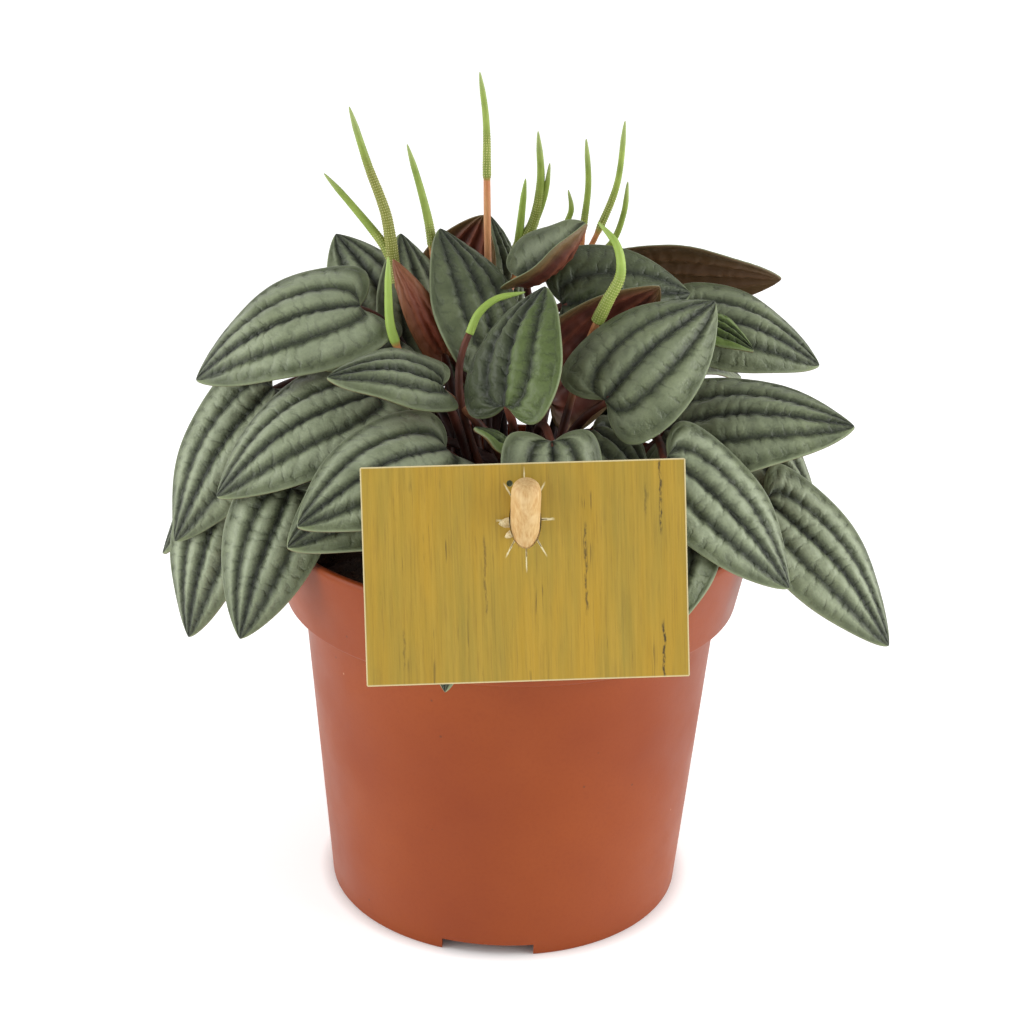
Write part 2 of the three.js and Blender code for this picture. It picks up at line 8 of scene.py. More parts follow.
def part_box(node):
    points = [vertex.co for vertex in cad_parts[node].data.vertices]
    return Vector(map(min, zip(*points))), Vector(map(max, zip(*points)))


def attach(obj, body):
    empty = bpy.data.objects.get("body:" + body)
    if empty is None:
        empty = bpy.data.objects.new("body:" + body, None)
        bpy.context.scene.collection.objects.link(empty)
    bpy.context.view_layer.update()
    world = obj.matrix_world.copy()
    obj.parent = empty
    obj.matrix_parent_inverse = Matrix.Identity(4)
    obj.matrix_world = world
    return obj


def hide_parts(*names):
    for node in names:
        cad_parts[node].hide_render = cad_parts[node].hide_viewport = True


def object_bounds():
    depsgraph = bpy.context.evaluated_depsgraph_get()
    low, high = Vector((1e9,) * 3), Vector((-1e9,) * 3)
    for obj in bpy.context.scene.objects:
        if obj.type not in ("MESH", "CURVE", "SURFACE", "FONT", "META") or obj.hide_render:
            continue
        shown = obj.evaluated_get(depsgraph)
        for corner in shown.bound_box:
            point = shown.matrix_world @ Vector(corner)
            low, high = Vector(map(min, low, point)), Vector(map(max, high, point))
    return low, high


# A peperomia in a terracotta nursery pot, with its label card on a stick.
# Shapes are worked out in millimetres and become metres when a mesh is made.

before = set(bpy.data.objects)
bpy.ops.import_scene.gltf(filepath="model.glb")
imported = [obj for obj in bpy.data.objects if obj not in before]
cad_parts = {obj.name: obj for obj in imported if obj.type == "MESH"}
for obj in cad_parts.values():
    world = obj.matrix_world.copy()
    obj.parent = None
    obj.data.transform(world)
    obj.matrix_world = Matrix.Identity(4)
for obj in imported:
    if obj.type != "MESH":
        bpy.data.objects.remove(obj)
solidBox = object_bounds()
mm = 0.001
draw = np.random.default_rng(11)
print("frame loaded with", len(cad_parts), "solids")


# A part is a dictionary of points (mm), faces, marks for the materials to read, and a finish number per face
def joinParts(parts):
    points, faces, skins, start = [], [], [], 0
    for part in parts:
        points.append(part["points"])
        faces += [[start + corner for corner in face] for face in part["faces"]]
        skins += part.get("skins", [0] * len(part["faces"]))
        start += len(part["points"])
    names = {mark for part in parts for mark in part.get("marks", {})}
    valuesOf = lambda mark, part: part.get("marks", {}).get(mark, np.zeros(len(part["points"])))
    marks = {mark: np.concatenate([valuesOf(mark, part) for part in parts]) for mark in sorted(names)}
    return {"points": np.vstack(points), "faces": faces, "marks": marks, "skins": skins}


def makeMesh(name, part, finishes, smooth=True):
    mesh = bpy.data.meshes.new(name)
    mesh.from_pydata((np.asarray(part["points"], float) * mm).tolist(), [], part["faces"])
    for finish in finishes:
        mesh.materials.append(finish)
    if len(finishes) > 1:
        mesh.polygons.foreach_set("material_index", np.asarray(part["skins"], dtype=np.int32))
    mesh.polygons.foreach_set("use_smooth", [smooth] * len(mesh.polygons))
    for mark, values in part.get("marks", {}).items():
        layer = mesh.attributes.new(mark, "FLOAT", "POINT")
        layer.data.foreach_set("value", np.asarray(values, dtype=np.float32))
    mesh.update()
    piece = bpy.data.objects.new(name, mesh)
    bpy.context.scene.collection.objects.link(piece)
    return piece


def standFor(piece, slot, *nodes):
    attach(piece, "root")
    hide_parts(*nodes)
    return piece


# Materials: a colour as seen on a screen, and short ways to add and join nodes
def paint(red, green, blue):
    linear = [c / 3294.6 if c < 11 else ((c / 255 + 0.055) / 1.055) ** 2.4 for c in (red, green, blue)]
    return (*linear, 1.0)


def newFinish(name, **sockets):
    finish = bpy.data.materials.new(name)
    finish.use_nodes = True
    shader = finish.node_tree.nodes["Principled BSDF"]
    for socket, value in sockets.items():
        shader.inputs[socket.replace("_", " ")].default_value = value
    return finish, shader


def feed(finish, socket, value):
    if isinstance(value, bpy.types.NodeSocket):
        finish.node_tree.links.new(value, socket)
    else:
        socket.default_value = value


def addNode(finish, kind, sockets, **settings):
    node = finish.node_tree.nodes.new("ShaderNode" + kind)
    for setting, value in settings.items():
        setattr(node, setting, value)
    for socket, value in sockets.items():
        feed(finish, node.inputs[socket], value)
    return node


def markOf(finish, name):
    return addNode(finish, "Attribute", {}, attribute_name=name).outputs["Fac"]


def places(finish, scale=(1, 1, 1)):
    spot = addNode(finish, "TexCoord", {}).outputs["Object"]
    return addNode(finish, "Mapping", {"Vector": spot, "Scale": scale}).outputs["Vector"]


# Noise whose lumps are about size mm across
def lumps(finish, size, detail=2.0, rough=0.5, stretch=(1, 1, 1)):
    sockets = {"Vector": places(finish, stretch), "Scale": 1000 / size, "Detail": detail, "Roughness": rough}
    return addNode(finish, "TexNoise", sockets).outputs["Fac"]


def grains(finish, size, stretch=(1, 1, 1)):
    sockets = {"Vector": places(finish, stretch), "Scale": 1000 / size}
    return addNode(finish, "TexVoronoi", sockets).outputs["Distance"]


def mixed(finish, share, first, second, way="MIX"):
    node = addNode(finish, "Mix", {}, data_type="RGBA", blend_type=way)
    for socket, value in zip((node.inputs[0], node.inputs[6], node.inputs[7]), (share, first, second)):
        feed(finish, socket, value)
    return node.outputs[2]


def between(finish, value, low, high, bottom=0.0, top=1.0):
    sockets = {"Value": value, "From Min": low, "From Max": high, "To Min": bottom, "To Max": top}
    return addNode(finish, "MapRange", sockets).outputs["Result"]


def worked(finish, operation, first, second=0.0):
    node = addNode(finish, "Math", {}, operation=operation)
    feed(finish, node.inputs[0], first)
    feed(finish, node.inputs[1], second)
    return node.outputs["Value"]


def times(finish, first, second):
    return worked(finish, "MULTIPLY", first, second)


def raised(finish, height, distance, strength=1.0, under=None):
    sockets = {"Height": height, "Distance": distance * mm, "Strength": strength}
    node = addNode(finish, "Bump", sockets)
    if under:
        finish.node_tree.links.new(under, node.inputs["Normal"])
    return node.outputs["Normal"]


# Lines and tubes
def evenly(line, count):
    steps = np.linalg.norm(np.diff(line, axis=0), axis=1)
    travelled = np.concatenate([[0], np.cumsum(steps)])
    wanted = np.linspace(0, travelled[-1], count)
    return np.column_stack([np.interp(wanted, travelled, line[:, axis]) for axis in range(3)])


# A smooth line through a few points (centripetal Catmull-Rom), as in the solids
def throughPoints(points, count):
    p = np.array(points, float)
    p = np.vstack([2 * p[0] - p[1], p, 2 * p[-1] - p[-2]])
    stretches = []
    for a, b, c, d in zip(p, p[1:], p[2:], p[3:]):
        k = np.concatenate([[0], np.cumsum(np.linalg.norm(np.diff([a, b, c, d], axis=0), axis=1) ** 0.5)])
        t = np.linspace(k[1], k[2], 60)[:, None]
        ab = (a * (k[1] - t) + b * t) / k[1]
        bc = (b * (k[2] - t) + c * (t - k[1])) / (k[2] - k[1])
        cd = (c * (k[3] - t) + d * (t - k[2])) / (k[3] - k[2])
        abc = (ab * (k[2] - t) + bc * t) / k[2]
        bcd = (bc * (k[3] - t) + cd * (t - k[1])) / (k[3] - k[1])
        stretches.append((abc * (k[2] - t) + bcd * (t - k[1])) / (k[2] - k[1]))
    return evenly(np.vstack(stretches), count)


def unit(vector):
    vector = np.asarray(vector, float)
    return vector / np.linalg.norm(vector)


# A closed tube along a line; radii is one number per ring, or one per point of every ring
def tube(line, radii, sides, marks=None):
    count = len(line)
    radii = np.broadcast_to(np.asarray(radii, float).reshape(count, -1), (count, sides))
    heading = np.gradient(line, axis=0)
    heading /= np.linalg.norm(heading, axis=1)[:, None]
    side = np.cross(heading[0], [0.3, 0.9, 0.2])
    rings = []
    for i in range(count):
        side = unit(side - heading[i] * side.dot(heading[i]))
        up = np.cross(heading[i], side)
        turn = np.arange(sides) * 2 * math.pi / sides
        around = np.cos(turn)[:, None] * side + np.sin(turn)[:, None] * up
        rings.append(line[i] + around * radii[i][:, None])
    points = np.vstack([*rings, line[:1], line[-1:]])
    faces = []
    for i in range(count - 1):
        for j in range(sides):
            k = (j + 1) % sides
            faces.append([i * sides + j, i * sides + k, (i + 1) * sides + k, (i + 1) * sides + j])
    first, last = count * sides, count * sides + 1
    for j in range(sides):
        k = (j + 1) % sides
        faces += [[first, k, j], [last, (count - 1) * sides + j, (count - 1) * sides + k]]
    spread = {}
    for mark, values in (marks or {}).items():
        values = np.broadcast_to(np.asarray(values, float).reshape(count, -1), (count, sides))
        spread[mark] = np.concatenate([values.ravel(), [values[0, 0], values[-1, 0]]])
    return {"points": points, "faces": faces, "marks": spread}


# A turned form about Z from a closed or axis-to-axis profile of [radius, height]
def turned(profile, sides):
    profile = np.asarray(profile, float)
    turn = np.arange(sides) * 2 * math.pi / sides
    points, starts = [], []
    for radius, level in profile:
        starts.append(len(points))
        if radius < 1e-6:
            points.append((0, 0, level))
        else:
            points += [(radius * math.cos(a), radius * math.sin(a), level) for a in turn]
    faces = []
    for i in range(len(profile) - 1):
        a, b = starts[i], starts[i + 1]
        atAxis, nextAtAxis = profile[i][0] < 1e-6, profile[i + 1][0] < 1e-6
        for j in range(sides):
            k = (j + 1) % sides
            if atAxis:
                faces.append([a, b + k, b + j])
            elif nextAtAxis:
                faces.append([a + j, a + k, b])
            else:
                faces.append([a + j, a + k, b + k, b + j])
    return {"points": np.array(points), "faces": faces}


# A profile with its corners rounded: each point is [radius, height, rounding]. even sets it out again in that
# many points
def roundedProfile(corners, steps=5, even=0):
    result = []
    for i, (x, y, rounding) in enumerate(corners):
        here = np.array([x, y], float)
        if rounding == 0 or i in (0, len(corners) - 1):
            result.append(here)
            continue
        back = np.array(corners[i - 1][:2]) - here
        on = np.array(corners[i + 1][:2]) - here
        start = here + unit(back) * min(rounding, np.linalg.norm(back) * 0.45)
        end = here + unit(on) * min(rounding, np.linalg.norm(on) * 0.45)
        for s in np.linspace(0, 1, steps):
            result.append((1 - s) ** 2 * start + 2 * s * (1 - s) * here + s * s * end)
    return evenly(np.column_stack([result, np.zeros(len(result))]), even)[:, :2] if even else result


# Camera at the photograph's height and angle
view = {"middle": (-0.16, 0, 98.65), "distance": 539.7, "down": 22.47, "roll": 1.52, "lens": 77.34}


def makeCamera():
    down, roll = math.radians(view["down"]), math.radians(view["roll"])
    ahead = Vector((0, math.cos(down), -math.sin(down)))
    right = Vector((1, 0, 0))
    up = right.cross(ahead)
    tiltedUp = up * math.cos(roll) - right * math.sin(roll)
    tiltedRight = right * math.cos(roll) + up * math.sin(roll)
    camera = bpy.data.objects.new("camera", bpy.data.cameras.new("camera"))
    camera.data.lens = view["lens"]
    camera.data.sensor_width = 36
    camera.data.clip_start, camera.data.clip_end = 0.01, 20
    turn = Matrix((tiltedRight, tiltedUp, -ahead)).transposed().to_4x4()
    spot = (Vector(view["middle"]) - ahead * view["distance"]) * mm
    camera.matrix_world = Matrix.Translation(spot) @ turn
    bpy.context.scene.collection.objects.link(camera)
    bpy.context.scene.camera = camera


makeCamera()

# Leaves: the same surfaces as the solids, with sharper grooves, puckered panels and round edges
leafForm = {
    "thick": 0.9, "edgeRound": 0.45, "lobe": 0.2, "close": 0.55, "lobeAt": 0.12, "dome": 0.34, "ridge": 1.05,
    "vein": 0.45, "wave": 0.5, "arch": 0.13, "grooveSoft": 1.15, "wander": 0.035, "creaseStep": 3.4,
    "creaseDepth": 0.45, "creaseSlant": 0.55, "gridStep": 0.42, "columns": 80, "reach": 0.999,
}
veinDepths = (1.0, 0.85, 0.15)  # midrib, side vein, the faint one near the edge
solidRidge = 0.55
solidRows = [0, 0.07, 0.2, 0.4, 0.62, 0.84, 1]
solidColumns = [-1, -0.7, -0.45, -0.22, 0, 0.22, 0.45, 0.7, 1]
# silverAndPaintedLight tints a leaf: above 0 its panels take the silver tone, partly the leaf's own silver
# and partly painted highlight, below 0 the leaf gets painted shade; young, olive and glow tint a leaf, pucker
# deepens its creases, ribs its veins; a flipped one shows its underside
frontLeaves = [
    {"base": (-28, 9, 141), "tip": (-45, 25, 162), "width": 25, "roll": -20, "silverAndPaintedLight": 0.9},
    {"base": (-21, 4, 136), "tip": (-28, 19, 165), "width": 24, "roll": 10, "silverAndPaintedLight": 0.8},
    {"base": (-5, -11, 143.5), "tip": (-19, 6, 168), "width": 25, "roll": 0, "pucker": 1.5, "silverAndPaintedLight": -0.4},
    {"base": (-19, 32, 141.6), "tip": (-9, 28, 166), "width": 20, "roll": -75},
    {"base": (-2, 36, 137.3), "tip": (-7.6, 39, 162.6), "width": 14, "roll": 0},
    {"base": (0.8, 4, 155.9), "tip": (15.3, 1, 171.2), "width": 22, "roll": 12, "arch": -0.13, "dome": -0.6},
    {"base": (10.2, 1, 150.6), "tip": (40.8, 5, 153.1), "width": 29, "roll": 58, "silverAndPaintedLight": -0.6},
    {"base": (28, 32, 152.2), "tip": (65, 27, 152.2), "width": 22, "roll": -60, "arch": 0.03, "olive": 1.0},
    {"base": (7, -8, 132), "tip": (32, -8, 160), "width": 27, "roll": -75},
    {
        "base": (-2.6, -37, 139.4), "tip": (5.9, -21, 162.7), "width": 26, "roll": -14, "arch": 0.17,
        "pucker": 1.5, "young": 0.4, "youngSide": -1, "silverAndPaintedLight": -0.8,
    },
    {"base": (20, -31, 139.4), "tip": (45, -15, 158.4), "width": 29, "roll": 35, "silverAndPaintedLight": 0.3},
    {"base": (40, 3, 149.5), "tip": (56, -6, 145), "width": 11, "roll": 20, "young": 1.0},
    {"base": (40, 12, 147), "tip": (73, 5, 137), "width": 26, "roll": 30, "silverAndPaintedLight": 0.4},
    {"base": (35, -17, 128), "tip": (78, -25, 133), "width": 31, "roll": 30, "pucker": 1.5, "silverAndPaintedLight": 0.4},
    {"base": (34, -38, 128), "tip": (62, -50, 102), "width": 27, "roll": 30, "pucker": 1.5, "silverAndPaintedLight": 1.0},
    {"base": (60, -14.5, 109.5), "tip": (90.7, -25, 77), "width": 26, "roll": 35, "silverAndPaintedLight": 1.0},
    {"base": (55, 2, 122), "tip": (74, -4, 99), "width": 20, "roll": 30},
    {"base": (38, -43, 115), "tip": (32, -62, 94), "width": 21, "roll": 0},
    {"base": (-37, -5, 152), "tip": (-75, -12, 135), "width": 31, "roll": -30, "arch": 0.17, "silverAndPaintedLight": 0.8},
    {"base": (-33, -17, 133), "tip": (-68, -33, 113), "width": 30, "roll": -25, "arch": 0.16, "silverAndPaintedLight": 0.9},
    {"base": (-58, -2, 130), "tip": (-81, -13, 94), "width": 28, "roll": -35, "silverAndPaintedLight": 0.8},
    {"base": (-67.5, -6, 108.5), "tip": (-78.5, -15, 69.5), "width": 24, "roll": -25, "silverAndPaintedLight": 0.9},
    {"base": (-51, -31, 116), "tip": (-62, -43, 83), "width": 24, "roll": -30, "silverAndPaintedLight": 0.8},
    {"base": (-15, -34, 127), "tip": (-47, -55, 116), "width": 31, "roll": -25, "arch": 0.16, "silverAndPaintedLight": 1.0},
    {"base": (-19, -29, 120), "tip": (-50, -52, 111), "width": 31, "roll": -25, "arch": 0.16},
    {
        "base": (-16.6, -27, 140.5), "tip": (-42.1, -35, 144.5), "width": 18, "roll": -28, "arch": 0.16,
        "silverAndPaintedLight": 0.7,
    },
    {"base": (-29, -1, 139), "tip": (-53, -10, 135.5), "width": 20, "roll": -20},
    {"base": (-63, 11, 112), "tip": (-88.5, 10, 81), "width": 20, "roll": -20},
    {"base": (0, -36, 128), "tip": (-9, -36, 134), "width": 9, "roll": 0, "young": 0.8},
    {
        "base": (8.3, -43, 133.7), "tip": (9.8, -52, 112.5), "width": 23, "roll": 0, "arch": 0.12,
        "silverAndPaintedLight": 0.7,
    },
    {"base": (18, -27, 131), "tip": (31, -35, 119), "width": 19, "roll": 10, "silverAndPaintedLight": -0.3},
    {"base": (-18, -40, 112), "tip": (-28, -46, 96), "width": 16, "roll": 0},
    {"base": (-9, -50, 112), "tip": (-14, -65, 82), "width": 17, "roll": 0, "arch": 0.2},
    {
        "base": (-17, -8, 142), "tip": (-29, -6, 164), "width": 9, "roll": -70, "glow": 0.7, "ribs": 0.35,
        "flipped": True,
    },
    {"base": (-32, 20, 137), "tip": (-60, 44, 124), "width": 29, "roll": -5, "arch": 0.16},
]
# The leaves behind stand in two rings
backRings = [
    {
        "count": 7, "start": 31, "end": 169, "width": 30, "arch": 0.2, "stagger": 5,
        "baseReach": (38, 32), "baseLevel": 121, "tipReach": (84, 72), "tipLevel": 97,
    },
    {
        "count": 4, "start": 26, "end": 101, "width": 27, "arch": 0.16, "stagger": 10,
        "baseReach": (24, 22), "baseLevel": 137, "tipReach": (62, 57), "tipLevel": 127,
    },
]
backSeed = 7


# The solids' own repeatable draw between -1 and 1, so that the back leaves stand where theirs do
def solidDraw(state):
    while True:
        state = state * 16807 % 2147483647
        yield 2 * state / 2147483647 - 1


def backLeaves():
    drawn = solidDraw(backSeed)
    found = []
    for ring in backRings:
        for i in range(ring["count"]):
            share = i / (ring["count"] - 1)
            turn = math.radians(ring["start"] + (ring["end"] - ring["start"]) * share + 3 * next(drawn))
            lower = ring["stagger"] if i % 2 else 0
            place = lambda reach, level: (reach[0] * math.cos(turn), reach[1] * math.sin(turn), level)
            base = place(ring["baseReach"], ring["baseLevel"] - lower + 2 * next(drawn))
            tip = place(ring["tipReach"], ring["tipLevel"] - lower + 3 * next(drawn))
            leaf = {"base": base, "tip": tip, "width": ring["width"] + 2 * next(drawn)}
            found.append({**leaf, "roll": 8 * next(drawn), "arch": ring["arch"]})
    return found


def outline(t):
    return np.abs(np.sin(math.pi * t ** 0.62)) ** 0.74


def lobeShare(t, s):
    reach = t / leafForm["lobeAt"]
    return leafForm["lobe"] * np.abs(s) ** 1.5 * reach * np.exp(1 - reach)


# Along the leaf, across it, and out of its upper face
def leafAxes(leaf):
    along = unit(np.subtract(leaf["tip"], leaf["base"]))
    out = unit(np.array([0, 0, 1]) - along * along[2])
    roll = math.radians(leaf["roll"])
    out = out * math.cos(roll) + np.cross(along, out) * math.sin(roll)
    return along, np.cross(out, along), out


def leafSheet(leaf, t, s):
    full, half = outline(t), leaf["width"] / 2
    arch = leaf["length"] * leaf.get("arch", leafForm["arch"]) * np.sin(math.pi * t ** 0.9)
    dome = -leaf.get("dome", leafForm["dome"]) * half * full * np.abs(s) ** 1.8
    return arch + dome + leafForm["wave"] * full * s * s * np.sin(11 * t + 2.3 * s + leaf["phase"])


# close draws the two lobes together over the stalk
def leafPoints(leaf, t, s, height, close=0):
    along, across, out = leafAxes(leaf)
    x = leaf["length"] * (t - lobeShare(t, s))
    y = s * leaf["width"] * outline(t) / 2 * (1 - close * s * s * np.exp(-(t / 0.05) ** 1.5))
    spread = np.stack([x, y, height], axis=-1)[..., None] * np.array([along, across, out])
    return leaf["origin"] + spread.sum(axis=-2)


# A leaf stays where its solid was settled: the middles of the two boxes are the same
def settleLeaf(leaf):
    t, s = np.meshgrid(solidRows, solidColumns, indexing="ij")
    veins = -solidRidge * outline(t) * np.cos(2 * math.pi * s / leafForm["vein"])
    height = leafSheet(leaf, t, s) + veins
    faces = [leafPoints(leaf, t, s, height - deep).reshape(-1, 3) for deep in (0, leafForm["thick"])]
    both = np.concatenate(faces)
    low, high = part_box(leaf["node"])
    middle = (np.array(low) + np.array(high)) / 2 / mm
    leaf["origin"] = leaf["origin"] + middle - (both.min(axis=0) + both.max(axis=0)) / 2


leaves = frontLeaves + backLeaves()
for i, leaf in enumerate(leaves):
    leaf["node"] = f"leaf_{i + 1:02d}"
    leaf["phase"] = 1.7 * i
    leaf["origin"] = np.array(leaf["base"], float)
    leaf["length"] = float(np.linalg.norm(np.subtract(leaf["tip"], leaf["base"])))
    settleLeaf(leaf)


# Cross creases leave the vein on either side of a panel: each is numbered along the leaf, from each vein
def creases(leaf, t, s, u, panel):
    size = leafForm["creaseStep"]
    rough = 0.9 * np.sin(0.55 * leaf["length"] * t + 2 * panel + leaf["phase"])
    rough = rough + 0.5 * np.sin(1.3 * leaf["length"] * t + 5 * s + 3 * panel)
    run = leaf["length"] * t + rough
    across = leafForm["creaseSlant"] * leaf["width"] * leafForm["vein"] / 2
    inner = (run - u * across) / size + 0.37 * panel
    outer = (run + (1 - u) * across) / size + 0.5 + 0.61 * panel
    depth = 0
    for count, fade in ((inner, 1 - u), (outer, u)):
        depth = depth + np.clip(fade * 1.6 - 0.45, 0, 1) * (np.abs(np.sin(math.pi * count)) ** 1.2 - 0.6)
    return depth, inner, outer


def leafPart(leaf):
    form = leafForm
    count = max(24, int(leaf["length"] / form["gridStep"]))
    even = np.linspace(0, 1, count + 1)
    t = form["reach"] * (even - 0.8 * np.sin(2 * math.pi * even) / (2 * math.pi))
    u = np.linspace(-1, 1, form["columns"] + 1)
    s = np.sign(u) * (1 - (1 - np.abs(u)) ** 1.25)
    t, s = np.meshgrid(t[1:-1], s, indexing="ij")
    full, half = outline(t), leaf["width"] / 2
    wander = form["wander"] * np.sin(4.3 * t + 1.3 * leaf["phase"]) * np.sin(math.pi * t)
    veinShare = np.abs(s + wander * (1 - np.abs(s))) / form["vein"]
    panel = np.floor(veinShare) + 3 * (s < 0)
    inPanel = veinShare % 1
    quilt = np.abs(np.sin(math.pi * veinShare)) ** form["grooveSoft"]
    deep = np.array(veinDepths)[np.round(veinShare).astype(int)]
    depth, inner, outer = creases(leaf, t, s, inPanel, panel)
    pucker = leaf.get("pucker", 1.0)
    puckers = form["creaseDepth"] * pucker * full * depth * np.clip((1 - np.abs(s)) * 8, 0, 1)
    ridges = form["ridge"] * leaf.get("ribs", 1.0) * full * (0.6 - 1.6 * (1 - quilt) * deep)
    height = leafSheet(leaf, t, s) + ridges + puckers
    toVein = np.abs(inPanel - np.round(inPanel)) * form["vein"] * half * full
    toEdge = (1 - np.abs(s)) * half * full
    rounded = 1 - np.clip(toEdge / form["edgeRound"], 0, 1)
    thin = form["thick"] * (1 - np.sqrt(1 - rounded ** 2)) / 2
    top = leafPoints(leaf, t, s, height - thin, form["close"])
    low = leafPoints(leaf, t, s, height - form["thick"] + thin, form["close"])[:, 1:-1]
    ends = np.array([0.0, form["reach"]])
    ends = leafPoints(leaf, ends, np.zeros(2), leafSheet(leaf, ends, np.zeros(2)))
    ends = ends - leafAxes(leaf)[2] * form["thick"] / 2
    lines, wide = top.shape[:2]
    points = np.vstack([ends[:1], top.reshape(-1, 3), ends[1:], low.reshape(-1, 3)])
    lowest, highest = (np.array(corner) / mm for corner in solidBox)
    points = np.clip(points, lowest, highest)  # no leaf passes the solids' box
    tip = 1 + lines * wide
    above = lambda i, j: 1 + i * wide + j
    below = lambda i, j: above(i, j) if j in (0, wide - 1) else tip + 1 + i * (wide - 2) + j - 1
    faces, skins = [], []
    for at, skin in ((above, 0), (below, 1)):
        found = []
        for j in range(wide - 1):
            found.append([0, at(0, j), at(0, j + 1)])
            found += [[at(i, j), at(i + 1, j), at(i + 1, j + 1), at(i, j + 1)] for i in range(lines - 1)]
            found.append([at(lines - 1, j), tip, at(lines - 1, j + 1)])
        faces += found if skin == 0 else [face[::-1] for face in found]
        skins += [skin] * len(found)

    def spread(values, atBase, atTip):
        values = np.broadcast_to(values, t.shape)
        return np.concatenate([[atBase], values.ravel(), [atTip], values[:, 1:-1].ravel()])

    whole = lambda tint, usual=0.0: spread(np.full(t.shape, leaf.get(tint, usual)), 0, 0)
    youngHere = np.full(t.shape, leaf.get("young", 0.0))
    if "youngSide" in leaf:
        youngHere = youngHere * np.clip(0.5 + 6 * s * leaf["youngSide"], 0, 1)
    marks = {
        "toVein": spread(toVein, 0, 0), "veinDeep": spread(deep, 1, 1), "toEdge": spread(toEdge, 0, 0),
        "inner": spread(inner, 0, 0), "outer": spread(outer, 0, 0), "inPanel": spread(inPanel, 0.5, 0.5),
        "share": spread(t, 0, 1), "young": spread(youngHere, 0, 0),
        "silverAndPaintedLight": whole("silverAndPaintedLight", 0.6), "glow": whole("glow"), "olive": whole("olive"),
    }
    return {"points": points, "faces": faces, "marks": marks, "skins": skins}


# silverAndPaintedLight is the silver tone of the lit panels, partly the leaf's own and partly painted
# highlight
leafColours = {
    "panel": (110, 119, 87), "shade": (86, 95, 67), "silverAndPaintedLight": (149, 158, 130), "groove": (30, 36, 25),
    "crossVeinAndShade": (46, 54, 38), "young": (106, 128, 60), "edge": (140, 152, 112), "tip": (128, 142, 88),
}
underColours = {
    "wine": (108, 56, 42), "dark": (76, 38, 30), "vein": (134, 76, 52), "olive": (106, 98, 58),
    "glow": (136, 62, 36), "brown": (88, 66, 36),
}


def upperFinish():
    c = {name: paint(*colour) for name, colour in leafColours.items()}
    finish, shader = newFinish("leafUpper", IOR=1.45, Sheen_Weight=0.15, Sheen_Roughness=0.4)
    patches = between(finish, lumps(finish, 7, 3), 0.35, 0.65)
    speckle = lumps(finish, 0.55, 2, 0.6)
    colour = mixed(finish, patches, c["shade"], c["panel"])
    toVein, veinDeep, silverAndPaintedLight = (markOf(finish, name) for name in ("toVein", "veinDeep", "silverAndPaintedLight"))
    # silver tone on the panels away from the veins: partly the leaf's own silver, partly painted highlight on
    # the lit leaves
    silverAndHighlightShare = between(finish, lumps(finish, 9), 0.2, 0.5, 0.25, 1.0)
    silverAndHighlightShare = times(finish, between(finish, silverAndPaintedLight, 0, 1), silverAndHighlightShare)
    silverAndHighlightShare = times(finish, silverAndHighlightShare, between(finish, toVein, 0.5, 2.2))
    colour = mixed(finish, silverAndHighlightShare, colour, c["silverAndPaintedLight"])
    # painted shade: a leaf whose silverAndPaintedLight is below 0 is multiplied darker, for the leaves facing
    # away from the light
    paintedShade = mixed(finish, 1.0, colour, (0.32, 0.35, 0.28, 1), "MULTIPLY")
    colour = mixed(finish, between(finish, silverAndPaintedLight, 0, -1), colour, paintedShade)
    colour = mixed(finish, markOf(finish, "young"), colour, c["young"])
    nearTip = between(finish, markOf(finish, "share"), 0.92, 1.0, 0.0, 0.5)
    colour = mixed(finish, nearTip, colour, c["tip"])

    # thin dark creases that fade out towards the middle of the panel: the cross veins' darker green with
    # painted shade in the folds
    inPanel, shake = markOf(finish, "inPanel"), between(finish, lumps(finish, 1.3, 2), 0.3, 0.7, -0.16, 0.16)
    lines = []
    for name, near, far in (("inner", 0.12, 0.62), ("outer", 0.88, 0.38)):
        count = worked(finish, "ADD", markOf(finish, name), shake)
        wave = worked(finish, "ABSOLUTE", worked(finish, "SINE", times(finish, count, math.pi)))
        fade = between(finish, inPanel, near, far, 1.0, 0.0)
        lines.append(times(finish, between(finish, wave, 0.05, 0.65, 1.0, 0.0), fade))
    crossVeinAndShade = worked(finish, "MAXIMUM", *lines)
    crossVeinAndShade = times(finish, crossVeinAndShade, between(finish, markOf(finish, "toEdge"), 0.4, 2.0))
    # painted shade in the crease folds, over the cross veins' own darker green
    colour = mixed(finish, times(finish, crossVeinAndShade, 0.4), colour, c["crossVeinAndShade"])
    # the sunken veins' own dark green, spread over the valley sides as painted shade
    frayed = worked(finish, "ADD", toVein, between(finish, speckle, 0.3, 0.7, -0.2, 0.2))
    veinAndShade = times(finish, between(finish, frayed, 0.15, 1.6, 0.95, 0.0), veinDeep)
    colour = mixed(finish, veinAndShade, colour, c["groove"])
    lighter = mixed(finish, 1.0, colour, (1.35, 1.37, 1.3, 1), "MULTIPLY")
    colour = mixed(finish, between(finish, speckle, 0.3, 0.7, 0.0, 0.45), colour, lighter)
    atEdge = between(finish, markOf(finish, "toEdge"), 0.08, 0.32, 0.45, 0.0)
    colour = mixed(finish, atEdge, colour, c["edge"])
    feed(finish, shader.inputs["Base Color"], colour)
    feed(finish, shader.inputs["Roughness"], between(finish, speckle, 0.3, 0.7, 0.4, 0.58))
    fine = raised(finish, speckle, 0.12, 0.7)
    cut = raised(finish, worked(finish, "SUBTRACT", 1.0, crossVeinAndShade), 0.35, 0.55, fine)
    feed(finish, shader.inputs["Normal"], raised(finish, lumps(finish, 1.6, 2), 0.3, 0.6, cut))
    return finish


